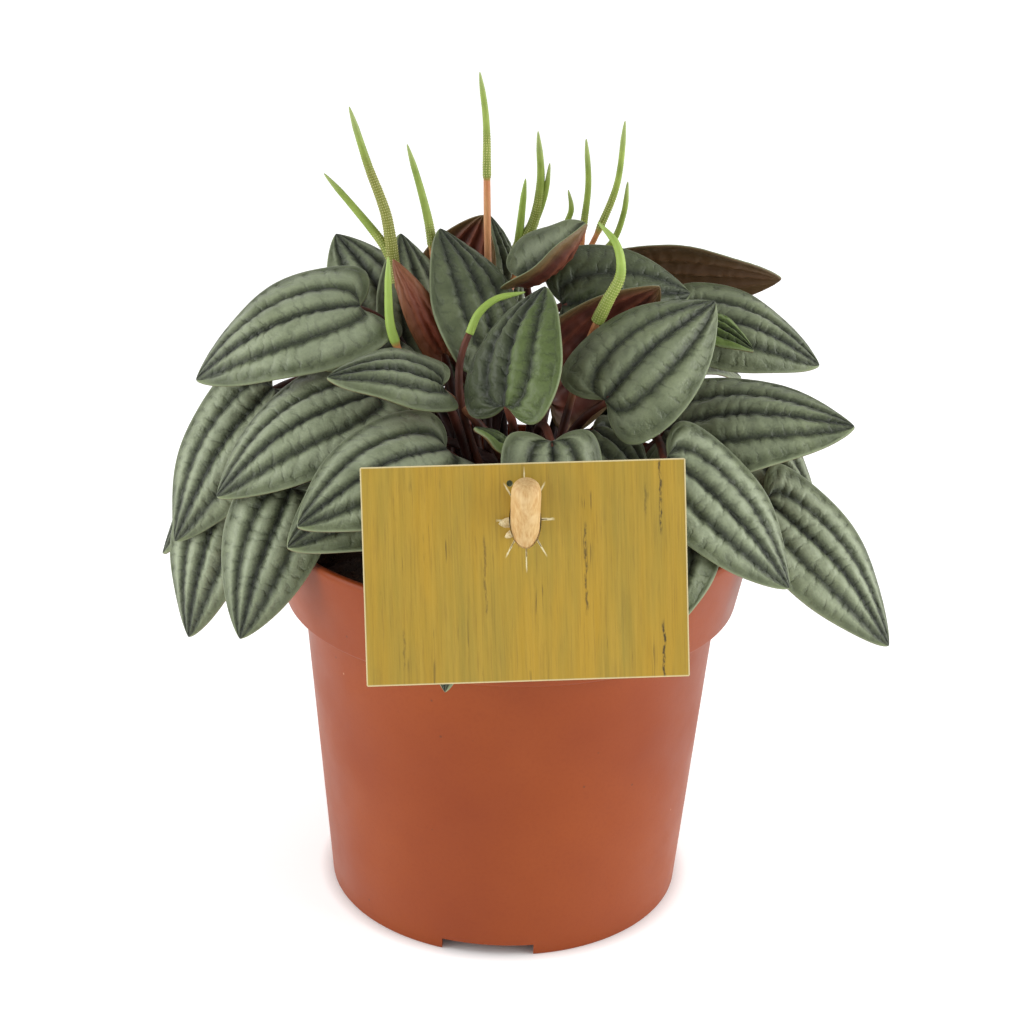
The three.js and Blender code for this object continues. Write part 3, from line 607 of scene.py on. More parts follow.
def underFinish():
    c = {name: paint(*colour) for name, colour in underColours.items()}
    finish, shader = newFinish("leafUnder", IOR=1.45)
    colour = mixed(finish, between(finish, lumps(finish, 6, 3), 0.35, 0.65), c["dark"], c["wine"])
    colour = mixed(finish, between(finish, markOf(finish, "toVein"), 0.3, 0.9, 0.55, 0.0), colour, c["vein"])
    colour = mixed(finish, between(finish, markOf(finish, "toEdge"), 0.2, 3.5, 0.7, 0.0), colour, c["olive"])
    colour = mixed(finish, times(finish, markOf(finish, "olive"), 0.85), colour, c["brown"])
    colour = mixed(finish, times(finish, markOf(finish, "glow"), 0.75), colour, c["glow"])
    feed(finish, shader.inputs["Base Color"], colour)
    feed(finish, shader.inputs["Roughness"], between(finish, lumps(finish, 0.8), 0.3, 0.7, 0.42, 0.6))
    feed(finish, shader.inputs["Normal"], raised(finish, lumps(finish, 0.7, 2), 0.1, 0.6))
    return finish


leafFinishes = [upperFinish(), underFinish()]
for leaf in leaves:
    finishes = leafFinishes[::-1] if leaf.get("flipped") else leafFinishes
    piece = makeMesh("blade_" + leaf["node"][-2:], leafPart(leaf), finishes)
    standFor(piece, "leaf", leaf["node"])
print("leaves made:", len(leaves))

# Flower spikes: lines from tip to foot; those of one spike meet low down. thick is the full radius, bumps the
# share of the line where the grains begin, stem the share that is bare stalk, stalk below 1 keeps the stalk
# below in its darker colours as painted shade
spikes = [
    [
        {
            "line": [(-40, 3, 197), (-35.7, 3, 183.5), (-31.4, 2, 172), (-29.5, 2, 160), (-28.5, 1, 156)],
            "thick": 1.5, "bumps": 0.2, "ripe": 1,
        },
        {
            "line": [(-46, 4, 181), (-39, 4, 173), (-32, 3, 164.5), (-29.5, 2, 160)],
            "thick": 1.15, "bumps": 0.55,
        },
    ],
    [
        {
            "line": [(-27, 10, 187), (-23.6, 8, 176.6), (-21.5, 8, 168), (-20, 7, 158)],
            "thick": 1.2, "bumps": 0.5, "stem": 0.2,
        },
    ],
    [
        {
            "line": [(-10.5, 20, 202.4), (-8.8, 20, 191), (-8.3, 20, 176.5)],
            "thick": 1.0, "bumps": 0.45, "stem": 0.04,
        },
    ],
    [
        {
            "line": [
                (3.7, 27, 187.1), (4.7, 29, 173.9), (3.1, 31, 163), (-0.4, 32.5, 156.4),
                (-0.6, 33, 151.6),
            ],
            "thick": 1.52, "bumps": 0.3,
        },
        {
            "line": [(1, 28, 175.1), (0.3, 30, 166.3), (-0.4, 32.5, 156.4)],
            "thick": 1.1, "bumps": 0.7, "fresh": 0.6,
        },
        {
            "line": [(6.8, 28, 179.1), (5.8, 29.5, 170.3), (3.1, 31, 162.1), (-0.4, 32.5, 156.4)],
            "thick": 0.75, "bumps": 0.9,
        },
    ],
    [
        {
            "line": [
                (15.3, 25, 186), (16.3, 27, 174.3), (15.5, 28.5, 162.5), (15.2, 30, 152.6),
                (15, 30.5, 148.6),
            ],
            "thick": 1.0, "bumps": 0.4, "stem": 0.4,
        },
        {
            "line": [(24.5, 25, 190.6), (23.3, 26.5, 174.9), (19.6, 28.5, 163.2), (15.2, 30, 152.6)],
            "thick": 0.98, "bumps": 0.35, "stem": 0.3,
        },
        {
            "line": [(25.9, 27, 175.3), (25.3, 28, 167.2), (22.6, 29, 159.2), (15.2, 30, 152.6)],
            "thick": 0.88, "bumps": 0.7,
        },
        {
            "line": [(11.5, 27.5, 172.7), (12.4, 28, 167.8), (11.2, 29, 162.1), (15.2, 30, 152.6)],
            "thick": 0.88, "bumps": 0.5,
        },
    ],
    [
        {
            "line": [
                (17.5, -14, 176), (22, -16, 171), (23, -17, 164.5), (20.4, -17, 158.5), (18.2, -16, 153),
            ],
            "thick": 1.5, "bumps": 0.4, "fresh": 0.55,
        },
    ],
    [
        {
            "line": [(-30, -12, 166), (-29.9, -13, 158), (-29.3, -14, 150), (-27.4, -14, 144)],
            "thick": 1.2, "bumps": 1, "fresh": 0.7, "stem": 0.12,
        },
    ],
    [
        {
            "line": [(1.5, -14, 159), (-5.3, -15.5, 157.5), (-9, -17, 154.5), (-11, -18, 150)],
            "thick": 0.98, "bumps": 1, "fresh": 0.7, "stalk": 0.6,
        },
    ],
]
spikeForm = {"tip": 0.6, "sides": 40, "ringStep": 0.16, "grain": 0.62, "grainDepth": 0.2}


def spikeTube(arm):
    form = spikeForm
    rough = throughPoints(arm["line"], 50)
    length = np.linalg.norm(np.diff(rough, axis=0), axis=1).sum()
    count = int(length / form["ringStep"])
    line = throughPoints(arm["line"], count)
    share = np.linspace(0, 1, count)
    run = share * length
    swell = form["tip"] + (arm["thick"] - form["tip"]) * np.clip(share * 1.1, 0, 1) ** 0.85
    swell = swell * np.clip(run / 5, 0.003, 1) ** 0.42
    stem = np.clip((share - 1 + arm.get("stem", 0)) / 0.06, 0, 1)
    swell = swell * (1 - 0.28 * stem)
    turn = np.arange(form["sides"]) * 2 * math.pi / form["sides"]
    around = max(5, round(math.pi * arm["thick"] / form["grain"]))
    lean = math.pi * run[:, None] / form["grain"]
    wobble = 0.35 * np.sin(1.7 * run[:, None] + 2 * turn) + 0.25 * np.sin(0.9 * run[:, None] - 3 * turn)
    lattice = np.cos(around * turn + lean + wobble) * np.cos(around * turn - lean + wobble)
    grown = np.clip((share - arm["bumps"]) / 0.18, 0.12, 1) * (1 - stem)
    grains = np.clip(lattice, 0, 1) ** 0.6 * grown[:, None]
    radii = swell[:, None] + form["grainDepth"] * (grains - 0.3 * grown[:, None])
    marks = {
        "grain": grains, "grown": grown, "share": share, "stem": stem,
        "fresh": np.full(count, arm.get("fresh", 0.0)), "ripe": np.full(count, arm.get("ripe", 0.0)),
    }
    return tube(line, radii, form["sides"], marks)


spikeColours = {
    "body": (156, 176, 82), "deep": (124, 146, 60), "tip": (168, 182, 124), "grain": (214, 210, 140),
    "olive": (118, 118, 44), "fresh": (158, 190, 88), "stem": (204, 146, 92), "red": (184, 112, 70),
}


def spikeFinish():
    c = {name: paint(*colour) for name, colour in spikeColours.items()}
    finish, shader = newFinish("flowerSpike", IOR=1.42, Subsurface_Weight=0.0)
    share = markOf(finish, "share")
    colour = mixed(finish, between(finish, lumps(finish, 5, 2), 0.3, 0.7), c["deep"], c["body"])
    colour = mixed(finish, between(finish, share, 0.0, 0.22, 0.7, 0.0), colour, c["tip"])
    colour = mixed(finish, times(finish, markOf(finish, "fresh"), 0.85), colour, c["fresh"])
    ripe = between(finish, markOf(finish, "ripe"), 0, 1, 0.35, 0.85)
    colour = mixed(finish, times(finish, markOf(finish, "grown"), ripe), colour, c["olive"])
    colour = mixed(finish, between(finish, markOf(finish, "grain"), 0.35, 0.9), colour, c["grain"])
    stem = mixed(finish, between(finish, lumps(finish, 4), 0.35, 0.7), c["red"], c["stem"])
    colour = mixed(finish, markOf(finish, "stem"), colour, stem)
    feed(finish, shader.inputs["Base Color"], colour)
    feed(finish, shader.inputs["Roughness"], between(finish, lumps(finish, 1.2), 0.3, 0.7, 0.38, 0.55))
    feed(finish, shader.inputs["Normal"], raised(finish, lumps(finish, 0.5, 2), 0.05, 0.5))
    return finish


flowerFinish = spikeFinish()
for i, arms in enumerate(spikes):
    piece = makeMesh(f"spike_{i + 1}", joinParts([spikeTube(arm) for arm in arms]), [flowerFinish])
    standFor(piece, "flower_spike", f"flower_spike_{i + 1}")
print("flower spikes made:", len(spikes))

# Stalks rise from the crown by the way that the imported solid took, and end under their leaf or spike
stalkForm = {
    "root": 1.6, "end": 1.0, "ringMost": 11, "crownTop": 98, "sides": 14, "rings": 44, "match": 0.05,
    "gap": 0.3,
}
crownForm = {"radius": 16, "foot": 80, "top": 98}
leans = (0, 0.5, -0.5, 1, -1)
turns = (0, 0.25, -0.25, 0.5, -0.5, 0.8, -0.8, 1.2, -1.2, 1.6, -1.6, 2, -2)
bulges = (0.42, 0.3, 0.55, 0.15, 0.7, 0.85)
rootShares = (1, 0.6, 1.2, 0.2)
approaches = (0.28, 0.15, 0.45)

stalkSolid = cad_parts["crown_and_stalks"].data
solidPoints = kdtree.KDTree(len(stalkSolid.vertices))
for i, vertex in enumerate(stalkSolid.vertices):
    solidPoints.insert(vertex.co / mm, i)
solidPoints.balance()


def stalkCurve(end, arrival, turn, ring, bulge, approach, count):
    around = math.atan2(end[1], end[0]) + turn
    outward = np.array([math.cos(around), math.sin(around), 0])
    root = ring * outward + np.array([0, 0, stalkForm["crownTop"] - 4 - ring * 0.3])
    reach = np.linalg.norm(root - end)
    rising = root + (outward * 0.4 + np.array([0, 0, 0.92])) * reach * bulge
    arriving = end - arrival * reach * approach
    t = np.linspace(0, 1, 101)[:, None]
    curve = (1 - t) ** 3 * root + 3 * t * (1 - t) ** 2 * rising
    curve = curve + 3 * t * t * (1 - t) * arriving + t ** 3 * end
    return evenly(curve, count)


# How far the solid's points are from where its rings would be on this way
def mismatch(corners):
    off = []
    for k in (3, 2, 4):
        radius = stalkForm["root"] + (stalkForm["end"] - stalkForm["root"]) * k / 4
        off += [abs(distance - radius) for unused, unused, distance in solidPoints.find_n(corners[k], 5)]
        if sum(off) / len(off) > 0.8:
            break
    return sum(off) / len(off)


def stalkWay(end, direction, side):
    ring = min(stalkForm["ringMost"], 2 + math.hypot(end[0], end[1]) * 0.22)
    best = (9, None)
    for lean in leans:
        arrival = direction + side * lean
        for turn in turns:
            for bulge in bulges:
                for share in rootShares:
                    for approach in approaches:
                        way = (end, arrival, turn, ring * share, bulge, approach)
                        off = mismatch(stalkCurve(*way, 5))
                        if off < best[0]:
                            best = (off, way)
                        if off < stalkForm["match"]:
                            return best
    return best


# light below 1 holds a stalk in its dark lower colours: painted shade for a stalk that stands in shadow
def stalkTube(end, direction, side, last, thin, light=1.0):
    off, way = stalkWay(end, direction, side)
    line = stalkCurve(*way, stalkForm["rings"])
    line = np.vstack([line, last])
    share = np.linspace(0, 1, len(line))
    radii = (stalkForm["root"] + (stalkForm["end"] - stalkForm["root"]) * share) * thin
    radii = radii * (1 + 0.05 * np.sin(share * 17 + end[0]))
    return tube(line, radii, stalkForm["sides"], {"share": share * light}), off


def leafStalk(leaf):
    along, across, out = leafAxes(leaf)
    direction = out * 0.8 + along * 0.6
    drop = leafForm["thick"] + stalkForm["gap"] + 0.6 * stalkForm["end"]
    end = leaf["origin"] - out * drop
    neck = leaf["origin"] - out * (drop - 0.7) + along * 0.5
    inside = leaf["origin"] - out * (leafForm["thick"] * 0.6) + along * 1.6
    return stalkTube(end, direction, across, [neck, inside], 0.92)


def spikeStalk(arms):
    line = np.array(arms[0]["line"], float)
    direction = unit(line[-2] - line[-1])
    side = unit([direction[1], -direction[0], 0]) * 0.4
    end = line[-1] - direction * (stalkForm["gap"] + 0.6)
    return stalkTube(end, direction, side, [line[-1] + direction * 0.6], 0.8, arms[0].get("stalk", 1.0))


stalkColours = {
    "red": (66, 30, 22), "orange": (104, 54, 36), "dark": (34, 18, 14), "clay": (188, 116, 72),
    "salmon": (214, 160, 108),
}


def stalkFinish(name, low, high, start, full):
    finish, shader = newFinish(name, IOR=1.43)
    streaks = between(finish, lumps(finish, 2.2, 3, stretch=(1, 1, 0.25)), 0.3, 0.7)
    blend = lambda pair: mixed(finish, streaks, *(paint(*stalkColours[tone]) for tone in pair))
    lower, upper = blend(low), blend(high)
    colour = mixed(finish, between(finish, markOf(finish, "share"), start, full), lower, upper)
    feed(finish, shader.inputs["Base Color"], colour)
    feed(finish, shader.inputs["Roughness"], between(finish, streaks, 0, 1, 0.4, 0.55))
    fibres = lumps(finish, 0.6, 2, stretch=(1, 1, 0.4))
    feed(finish, shader.inputs["Normal"], raised(finish, fibres, 0.08, 0.5))
    return finish


leafStalks = [leafStalk(leaf) for leaf in leaves]
spikeStalks = [spikeStalk(arms) for arms in spikes]
print("stalk ways off by at most", round(max(off for part, off in leafStalks + spikeStalks), 3))
redFinish = stalkFinish("leafStalk", ("dark", "red"), ("red", "orange"), 0.7, 0.97)
salmonFinish = stalkFinish("flowerStalk", ("dark", "orange"), ("clay", "salmon"), 0.62, 0.85)
piece = makeMesh("leaf_stalks", joinParts([part for part, off in leafStalks]), [redFinish])
standFor(piece, "stalk", "crown_and_stalks")
piece = makeMesh("flower_stalks", joinParts([part for part, off in spikeStalks]), [salmonFinish])
standFor(piece, "stalk", "crown_and_stalks")


def crownPart():
    r, foot, top = crownForm["radius"], crownForm["foot"], crownForm["top"]
    corners = [
        (0, foot, 0), (r * 0.7, foot, 2), (r * 0.92, foot + 7, 3), (r * 0.95, top - 6, 4),
        (r * 0.55, top - 1.2, 4), (0, top - 0.6, 0),
    ]
    part = turned(roundedProfile(corners, even=60), 96)
    for point in part["points"]:
        swell = noise.noise(Vector(point) * 0.32) * 1.0 + noise.noise(Vector(point) * 1.1) * 0.4
        flat = max(0.01, math.hypot(point[0], point[1]))
        point[0] += point[0] / flat * (swell - 0.7)
        point[1] += point[1] / flat * (swell - 0.7)
    part["marks"] = {"share": np.zeros(len(part["points"]))}
    return part


standFor(makeMesh("crown", crownPart(), [redFinish]), "stalk", "crown_and_stalks")
print("stalks and crown made")

# The nursery pot
potForm = {
    "height": 100, "rim": 60, "lip": 57.6, "band": 21.8, "bandFoot": 55.6, "neck": 51.2, "base": 44.4,
    "wall": 1.6, "floor": 4.2, "floorThick": 2, "sides": 200,
}
footNotch = {"count": 3, "height": 3, "halfWidth": 11.2, "turn": -4.4}
drainHole = {"count": 6, "radius": 3.5, "ring": 27}
potColours = {
    "body": (140, 60, 13), "deep": (128, 50, 8), "warm": (152, 71, 17), "dark": (96, 52, 34),
    "pale": (222, 178, 140),
}


def cutFrom(piece, cutters):
    cutter = makeMesh("cutter", joinParts(cutters), [], smooth=False)
    cut = piece.modifiers.new("cut", "BOOLEAN")
    cut.object, cut.operation, cut.solver = cutter, "DIFFERENCE", "EXACT"
    bpy.context.view_layer.update()
    shape = piece.evaluated_get(bpy.context.evaluated_depsgraph_get())
    mesh = bpy.data.meshes.new_from_object(shape)
    piece.modifiers.clear()
    piece.data = mesh
    bpy.data.objects.remove(cutter)
    return piece


def boxPart(low, high):
    x, y, z = zip(low, high)
    points = np.array([(x[i], y[j], z[k]) for i in (0, 1) for j in (0, 1) for k in (0, 1)], float)
    faces = [[0, 1, 3, 2], [4, 6, 7, 5], [0, 4, 5, 1], [2, 3, 7, 6], [0, 2, 6, 4], [1, 5, 7, 3]]
    return {"points": points, "faces": faces}


def turnAbout(part, degrees):
    a = math.radians(degrees)
    spin = np.array([[math.cos(a), -math.sin(a), 0], [math.sin(a), math.cos(a), 0], [0, 0, 1]])
    return {**part, "points": part["points"] @ spin.T}


def makePot(finish):
    p = potForm
    step, inner, bottom = p["height"] - p["band"], p["base"] - p["wall"], p["floor"] + p["floorThick"]
    side = [(p["base"] + (p["neck"] - p["base"]) * z / step, z, 0) for z in (3.3, 12, 26, 42, 60)]
    corners = [
        (0, p["floor"], 0), (inner, p["floor"], 0.5), (inner + 0.1, 0, 0.3), (p["base"], 0, 0.5), *side,
        (p["neck"], step, 0.8), (p["bandFoot"], step + 0.6, 0.7), (p["rim"] - 0.4, p["height"] - 1, 0.8),
        (p["rim"] - 0.8, p["height"], 0.6), (p["lip"], p["height"], 0.8),
        (p["bandFoot"] - p["wall"], step + 2.5, 1), (p["neck"] - p["wall"], step - 1, 1),
        (inner + 0.3, bottom, 1.2), (0, bottom, 0),
    ]
    pot = makeMesh("nursery_pot", turned(roundedProfile(corners), p["sides"]), [finish])
    cutters = []
    for i in range(footNotch["count"]):
        wide, high = footNotch["halfWidth"], footNotch["height"]
        box = boxPart((-wide, -p["base"] - 10, -high), (wide, -p["base"] + 10, high))
        cutters.append(turnAbout(box, footNotch["turn"] + i * 360 / footNotch["count"]))
    for i in range(drainHole["count"]):
        hole = turned([(0, -5), (drainHole["radius"], -5), (drainHole["radius"], 12), (0, 12)], 32)
        hole["points"] = hole["points"] + np.array([drainHole["ring"], 0, 0])
        cutters.append(turnAbout(hole, (i + 0.5) * 360 / drainHole["count"]))
    cutFrom(pot, cutters)
    pot.data.set_sharp_from_angle(angle=math.radians(32))
    return standFor(pot, "pot", "pot")


def potFinish():
    c = {name: paint(*colour) for name, colour in potColours.items()}
    finish, shader = newFinish("terracottaPlastic", IOR=1.47, Specular_IOR_Level=0.3)
    colour = mixed(finish, between(finish, lumps(finish, 38, 3), 0.3, 0.7), c["deep"], c["warm"])
    colour = mixed(finish, 0.5, colour, c["body"])
    colour = mixed(finish, between(finish, lumps(finish, 0.9, 2), 0.45, 0.75, 0.0, 0.25), colour, c["deep"])
    specks = between(finish, grains(finish, 9), 0.02, 0.045, 1.0, 0.0)
    colour = mixed(finish, times(finish, specks, 0.7), colour, c["dark"])
    dust = between(finish, grains(finish, 13, (1, 1.1, 0.9)), 0.015, 0.03, 1.0, 0.0)
    colour = mixed(finish, times(finish, dust, 0.6), colour, c["pale"])
    feed(finish, shader.inputs["Base Color"], colour)
    feed(finish, shader.inputs["Roughness"], between(finish, lumps(finish, 14, 4), 0.3, 0.7, 0.38, 0.5))
    fine = raised(finish, lumps(finish, 0.35, 2), 0.02, 0.6)
    feed(finish, shader.inputs["Normal"], raised(finish, lumps(finish, 22, 2), 0.5, 0.35, fine))
    return finish


makePot(potFinish())
print("pot made")

# Soil
soilForm = {
    "level": 89, "mound": 2.5, "rough": 0.7, "play": 1.9, "rings": 70, "sides": 200, "crumbs": 900,
    "crumbSize": (0.5, 1.7),
}


def soilLevel(x, y):
    edge = potForm["bandFoot"] - soilForm["play"]
    share = min(1, math.hypot(x, y) / edge)
    lump = math.sin(x * 0.31 + 1.3 * math.sin(y * 0.23)) + math.cos(y * 0.37 - x * 0.17)
    level = soilForm["level"] + soilForm["mound"] * (1 - share * share) + soilForm["rough"] * lump
    for size, deep in ((0.5, 0.6), (1.4, 0.45), (3.1, 0.25)):
        level += deep * noise.noise(Vector((x, y, 0)) * size)
    return level


def crumb(x, y, size):
    part = turned([(0, -1), (0.7, -0.7), (1, 0), (0.75, 0.65), (0, 1)], 7)
    rough = draw.uniform(0.7, 1.25, part["points"].shape) * size
    part["points"] = part["points"] * (rough * np.array([1, draw.uniform(0.6, 1), draw.uniform(0.5, 0.9)]))
    part = turnAbout(part, draw.uniform(0, 360))
    part["points"] = part["points"] + np.array([x, y, soilLevel(x, y) + 0.3 * size])
    part["marks"] = {"tone": np.full(len(part["points"]), draw.uniform(0, 1))}
    return part


def soilPart():
    edge = potForm["bandFoot"] - soilForm["play"]
    step = potForm["height"] - potForm["band"]
    wallAt = lambda z: potForm["base"] + (potForm["neck"] - potForm["base"]) * z / step - soilForm["play"]
    foot = potForm["floor"] + potForm["floorThick"] + 0.3
    neck = soilForm["level"] - 13
    top, rings = soilForm["level"], soilForm["rings"]
    profile = [(0, foot), (wallAt(foot) - 1, foot), (wallAt(neck), neck)]
    profile += [(edge - 2, top - 8), (edge, top - 2.5)]
    profile += [((1 - i / rings) * (edge - 0.2), top) for i in range(rings + 1)]
    part = turned(profile, soilForm["sides"])
    for point in part["points"]:
        if point[2] >= top - 0.1:
            point[2] = soilLevel(point[0], point[1])
    part["marks"] = {"tone": np.full(len(part["points"]), 0.35)}
    return part


def soilFinish():
    finish, shader = newFinish("peatSoil", Roughness=0.92)
    patches = between(finish, lumps(finish, 3, 4, 0.65), 0.35, 0.65)
    tone = mixed(finish, patches, paint(30, 21, 16), paint(66, 48, 35))
    tone = mixed(finish, between(finish, markOf(finish, "tone"), 0.3, 1.0, 0.0, 0.6), tone, paint(92, 68, 48))
    fibre = between(finish, lumps(finish, 0.8, 3, 0.6, (1, 0.3, 1)), 0.6, 0.7)
    tone = mixed(finish, times(finish, fibre, 0.5), tone, paint(120, 92, 64))
    feed(finish, shader.inputs["Base Color"], tone)
    feed(finish, shader.inputs["Normal"], raised(finish, lumps(finish, 0.6, 4, 0.7), 0.5, 0.9))
    return finish


def makeSoil():
    crumbs = []
    for i in range(soilForm["crumbs"]):
        turn, reach = draw.uniform(0, 2 * math.pi), 52 * math.sqrt(draw.uniform(0.05, 1))
        size = draw.uniform(*soilForm["crumbSize"]) / 2
        crumbs.append(crumb(reach * math.cos(turn), reach * math.sin(turn), size))
    soil = makeMesh("potting_soil", joinParts([soilPart(), *crumbs]), [soilFinish()])
    return standFor(soil, "soil", "soil")


makeSoil()
print("soil made")

# Label card and its stick
cardForm = {
    "width": 70.6, "height": 47.8, "thick": 0.6, "lean": 18, "turn": 2.3, "yaw": -2.5,
    "middle": (3.2, -61.9, 110.1), "corner": 0.25, "edge": 0.05,
}
cardSlot = {
    "across": 0.2, "up": 11.5, "halfWide": 3.5, "halfHigh": 6.3, "slits": 8, "slitReach": 1.6,
    "slitWide": 0.2, "tornReach": 3.0,
}
cordHole = {"across": -3, "up": 19.5, "radius": 0.7}
stickForm = {"radius": 3.3, "lean": 17, "above": 10.6, "foot": 40, "sides": 64}


def cardMatrix():
    turn = Matrix.Rotation(math.radians(-cardForm["turn"]), 4, "Y")
    lean = Matrix.Rotation(math.radians(-cardForm["lean"]), 4, "X")
    yaw = Matrix.Rotation(math.radians(-cardForm["yaw"]), 4, "Z")
    stand = Matrix(((1, 0, 0, 0), (0, 0, -1, 0), (0, 1, 0, 0), (0, 0, 0, 1)))
    return Matrix.Translation(Vector(cardForm["middle"])) @ yaw @ lean @ turn @ stand


# A point of the slot's oval rim, from its middle
def slotRim(turn):
    return np.array([cardSlot["halfWide"] * math.cos(turn), cardSlot["halfHigh"] * math.sin(turn)])


def slotOutline():
    points, pitch = [], 2 * math.pi / cardSlot["slits"]
    for i in range(cardSlot["slits"]):
        start = slotRim(pitch * i)
        out = unit(start)
        side = np.array([-out[1], out[0]]) * cardSlot["slitWide"] / 2
        end = start + out * cardSlot["slitReach"] * (0.75 + 0.5 * draw.random())
        points += [start - side, end - side * 0.6, end + side * 0.6, start + side]
        points += [slotRim(pitch * (i + part)) for part in (0.25, 0.5, 0.75)]
    return [(cardSlot["across"] + x, cardSlot["up"] + y) for x, y in points]


def cordOutline():
    across, up, radius = cordHole["across"], cordHole["up"], cordHole["radius"]
    return [(across + radius * math.cos(a), up + radius * math.sin(a)) for a in np.arange(20) * math.pi / 10]


def makeCard(finish):
    w, h, c = cardForm["width"] / 2, cardForm["height"] / 2, cardForm["corner"]
    corners = [(-w, -h), (w, -h), (w, h), (-w, h)]
    outer = []
    for x, y in corners:
        sx, sy = math.copysign(c, x), math.copysign(c, y)
        pair = [(x, y - sy), (x - sx, y)]
        outer += pair if x * y > 0 else pair[::-1]
    sheet = bpy.data.curves.new("cardSheet", "CURVE")
    sheet.dimensions, sheet.fill_mode = "2D", "BOTH"
    sheet.extrude = (cardForm["thick"] / 2 - cardForm["edge"]) * mm
    sheet.bevel_depth, sheet.bevel_resolution = cardForm["edge"] * mm, 2
    sheet.offset = -cardForm["edge"] * mm
    for loop in (outer, slotOutline(), cordOutline()):
        spline = sheet.splines.new("POLY")
        spline.points.add(len(loop) - 1)
        for point, (x, y) in zip(spline.points, loop):
            point.co = (x * mm, y * mm, -cardForm["thick"] / 2 * mm, 1)
        spline.use_cyclic_u = True
    holder = bpy.data.objects.new("cardSheet", sheet)
    bpy.context.scene.collection.objects.link(holder)
    bpy.context.view_layer.update()
    mesh = bpy.data.meshes.new_from_object(holder.evaluated_get(bpy.context.evaluated_depsgraph_get()))
    bpy.data.objects.remove(holder)
    bpy.data.curves.remove(sheet)
    mesh.name = "label_sheet"
    low = min(v.co.z for v in mesh.vertices)
    layers = {name: mesh.attributes.new(name, "FLOAT", "POINT") for name in ("across", "up", "face")}
    for vertex in mesh.vertices:
        vertex.co.z += -cardForm["thick"] * mm - low
        layers["across"].data[vertex.index].value = vertex.co.x / mm
        layers["up"].data[vertex.index].value = vertex.co.y / mm
        layers["face"].data[vertex.index].value = vertex.co.z / mm
    place = cardMatrix()
    for vertex in mesh.vertices:
        vertex.co = (place @ (vertex.co / mm)) * mm
    mesh.materials.clear()
    mesh.materials.append(finish)
    card = bpy.data.objects.new("label_sheet", mesh)
    bpy.context.scene.collection.objects.link(card)
    return standFor(card, "card", "label_card")


cardColours = {
    "ochre": (174, 138, 34), "light": (188, 154, 54), "green": (152, 130, 44), "brown": (106, 76, 26),
    "black": (54, 44, 24), "paper": (232, 222, 180),
}

# Streaks of the wood print: place across the card, lowest and highest point, strength
darkStreaks = [
    (29.6, 8, 24, 0.9), (29.8, -24, -12, 0.95), (13.1, -9, 10, 0.75), (-8.9, -9, 8, 0.45),
    (26.3, 12, 18, 0.4), (-27, -20, -12, 0.4),
]


